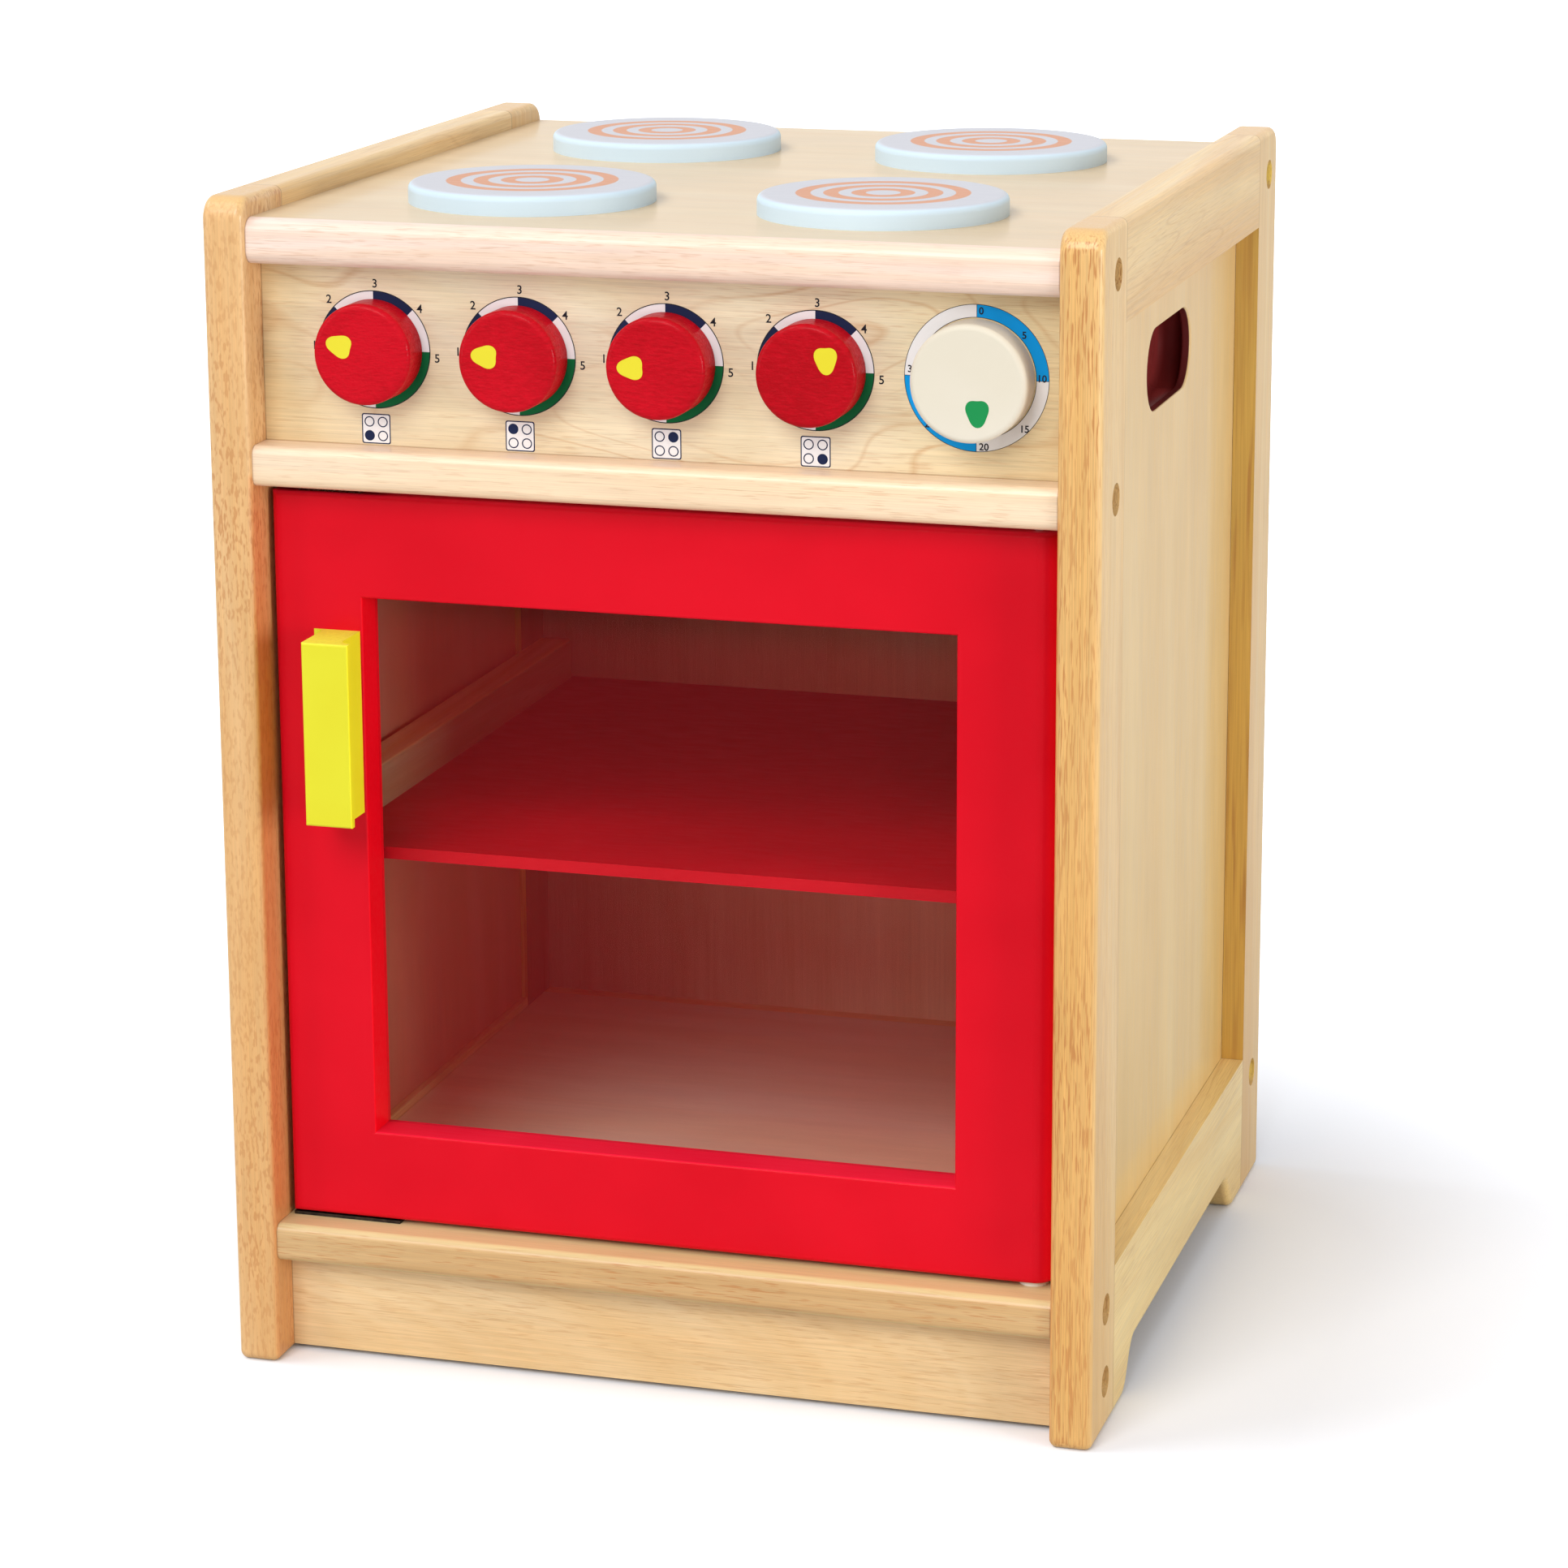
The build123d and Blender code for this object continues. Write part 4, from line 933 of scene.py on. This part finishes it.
for knob, right, up, turn, finish in pointer_places:
    bm = bmesh.new()
    x, z = knob_middle(knob)
    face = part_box(knob)[0].y
    outline = pick_outline((x + right * mm, z + up * mm), math.radians(turn), pick_length, pick_width)
    sheet_shape(bm, outline, face - ink_gap, 0)
    new_piece(f"pointer_{knob}", bm, [finish], knob)
print("pointers painted:", len(pointer_places))

# %% [markdown]
# ## Finger cups
#
# Through a hand hole one sees dark red and not the bolts and battens of the hollow behind the dials.
# A shallow dark red cup behind each hole does that: it is painted shade for the hollow, and it also
# keeps fingers and toys out of it and leaves room to carry. Its outline is the hole's own slot shape,
# a little larger, so the panel hides the rim. The cup is made from rings of that outline: up the
# outside, over the rim and down the inside to a rounded base.

# %% Cups behind the hand holes
cup_slack, cup_wall, slot_points = 1.5 * mm, 1.0 * mm, 64
hole_half_length, hole_radius, hole_height = 47.0 * mm, 18.5 * mm, 447.0 * mm
inside_profile = ((0.1, 0.0), (9.0, 0.0), (11.3, 0.7), (12.6, 2.4), (13.0, 5.0))


def slot_ring(bm, x, middle, radius):
    """The corners of the slot outline at one depth. A smaller radius pulls all sides in."""
    straight = hole_half_length - hole_radius
    corners = []
    for step in range(slot_points):
        angle = math.radians(360 * (step + 0.5) / slot_points)
        along = math.copysign(straight, math.cos(angle)) + radius * math.cos(angle)
        corners.append(bm.verts.new((x, middle + along, hole_height + radius * math.sin(angle))))
    return corners


# The cup's dark red is painted shade for the hollow behind the hole.
cup_shade_paint, _ = paint("dark_red_shade_paint", "#8A302E", "#7A2828", relief=0.00004, gloss=0.05)
inside = [(depth * mm, hole_radius + cup_slack - inset * mm) for depth, inset in inside_profile]
outside = [(depth + cup_wall * (i > 0), radius + cup_wall) for i, (depth, radius) in enumerate(inside)]
for side, sign in outward:
    bm = bmesh.new()
    low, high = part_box(f"{side}_panel")
    middle = (low.y + high.y) / 2
    back_of_panel = min(abs(low.x), abs(high.x))
    rings = [slot_ring(bm, sign * (back_of_panel - depth), middle, radius)
             for depth, radius in (*reversed(outside), *inside)]
    for first, second in zip(rings, rings[1:]):
        for i in range(slot_points):
            j = (i + 1) % slot_points
            bm.faces.new((first[i], first[j], second[j], second[i])).smooth = True
    bm.faces.new(rings[0])
    bm.faces.new(rings[-1])
    bmesh.ops.recalc_face_normals(bm, faces=bm.faces)
    new_piece(f"finger_cup_{side}", bm, [cup_shade_paint], "cabinet")
print("finger cups are", inside_profile[-1][0], "mm deep, at y", round(middle * 1000, 2), "mm")

# %% [markdown]
# ## Floor and light
#
# A product photo on white needs a floor that stays white and still carries a soft shadow. The floor is
# pale, and for the camera alone it gives off a touch of light of its own, which lifts it to full white
# without lighting the stove. That lift is nothing beside the stove, where the shadow lies, and grows
# with the distance from it.

# %% White floor
floor_half, far_lift = 30.0, 0.42
lift_starts, lift_full, shadow_forward = 0.08, 0.38, 0.12
bounce_tone, seen_tone = (0.6, 0.6, 0.6, 1), (0.9, 0.93, 1.0, 1)
bm = bmesh.new()
corners = ((-1, -1), (1, -1), (1, 1), (-1, 1))
bm.faces.new([bm.verts.new((a * floor_half, b * floor_half, 0)) for a, b in corners])
mesh = bpy.data.meshes.new("studio_floor")
bm.to_mesh(mesh)
bm.free()
floor = bpy.data.objects.new("studio_floor", mesh)
bpy.context.scene.collection.objects.link(floor)

floor_finish, tree, shader = new_material("studio_white", Roughness=0.9, Specular_IOR_Level=0.0)
shader.inputs["Emission Color"].default_value = (1, 1, 1, 1)
looked_at = add_node(tree, "ShaderNodeLightPath").outputs["Is Camera Ray"]
tree.links.new(mix(tree, looked_at, bounce_tone, seen_tone), shader.inputs["Base Color"])
half_size = (cad_box[1].x, cad_box[1].y, 0)
away = vector_maths(tree, "ADD", surface_place(tree), (0, shadow_forward, 0))
away = vector_maths(tree, "SUBTRACT", vector_maths(tree, "ABSOLUTE", away), half_size)
away = vector_maths(tree, "LENGTH", vector_maths(tree, "MAXIMUM", away))
lift = fade(tree, away, lift_starts, lift_full, 0.0, far_lift)
tree.links.new(maths(tree, "MULTIPLY", looked_at, lift), shader.inputs["Emission Strength"])
mesh.materials.append(floor_finish)
print("the floor is fully lifted", lift_full, "m away from the stove")

# %% [markdown]
# ## Sky and lamps
#
# A broad window in front gives most of the light and the gloss, and one at the left throws the soft
# shadow to the right. Two soft boxes brighten the sides. The sky fills in what they leave dark: it
# lights the stove only dimly, more from above, while the camera and the gloss see it full white.

# %% A white sky that lights dimly
side_levels, zenith_level, zenith_from = (0.3, 0.4), 0.42, 0.45
world = bpy.data.worlds.new("studio_sky")
bpy.context.scene.world = world
world.use_nodes = True
tree = world.node_tree
rays = add_node(tree, "ShaderNodeLightPath")
seen = maths(tree, "MAXIMUM", rays.outputs["Is Camera Ray"], rays.outputs["Is Glossy Ray"])
seen = maths(tree, "MAXIMUM", seen, rays.outputs["Is Transmission Ray"])
sky = tree.nodes["Background"]
sky.inputs["Color"].default_value = (1, 1, 1, 1)
toward = numbers_of(tree, add_node(tree, "ShaderNodeTexCoord").outputs["Generated"])
level = maths(tree, "ADD", fade(tree, toward[0], -1.0, 1.0, *side_levels),
              fade(tree, toward[2], zenith_from, 1.0, 0.0, zenith_level))
tree.links.new(fade(tree, seen, 0.0, 1.0, level, 1.0), sky.inputs["Strength"])
print("sky light from the left, right and straight above:", (*side_levels, zenith_level))


# %% Two windows and two soft boxes
def hang_lamp(lamp, place, toward):
    """Places a lamp so that it shines along the way from toward to the origin."""
    holder = bpy.data.objects.new(lamp.name, lamp)
    holder.location = place
    holder.rotation_euler = Vector(toward).to_track_quat("Z", "Y").to_euler()
    bpy.context.scene.collection.objects.link(holder)


def window_light(name, toward, energy, spread):
    """Even light from far away. spread is how wide the window looks, in degrees."""
    lamp = bpy.data.lights.new(name, "SUN")
    lamp.energy, lamp.angle = energy, math.radians(spread)
    hang_lamp(lamp, above_stove, toward)


def soft_box(name, place, energy, width, height):
    """A rectangular lamp that looks at the middle of the stove. Its energy is in watts."""
    lamp = bpy.data.lights.new(name, "AREA")
    lamp.energy, lamp.shape = energy, "RECTANGLE"
    lamp.size, lamp.size_y = width, height
    hang_lamp(lamp, place, Vector(place) - stove_middle)


stove_middle, above_stove = Vector((0, 0, 0.25)), (0, 0, 3)
window_light("front_window", toward=(-0.13, -0.80, 0.62), energy=1.6, spread=32)
window_light("left_window", toward=(-0.62, -0.15, 0.75), energy=1.05, spread=30)
soft_box("left_box", place=(-2.0, -1.8, 0.7), energy=7, width=0.4, height=1.2)
soft_box("right_box", place=(2.6, -1.2, 0.6), energy=33, width=0.8, height=1.0)
print("lamps:", len(bpy.data.lights))
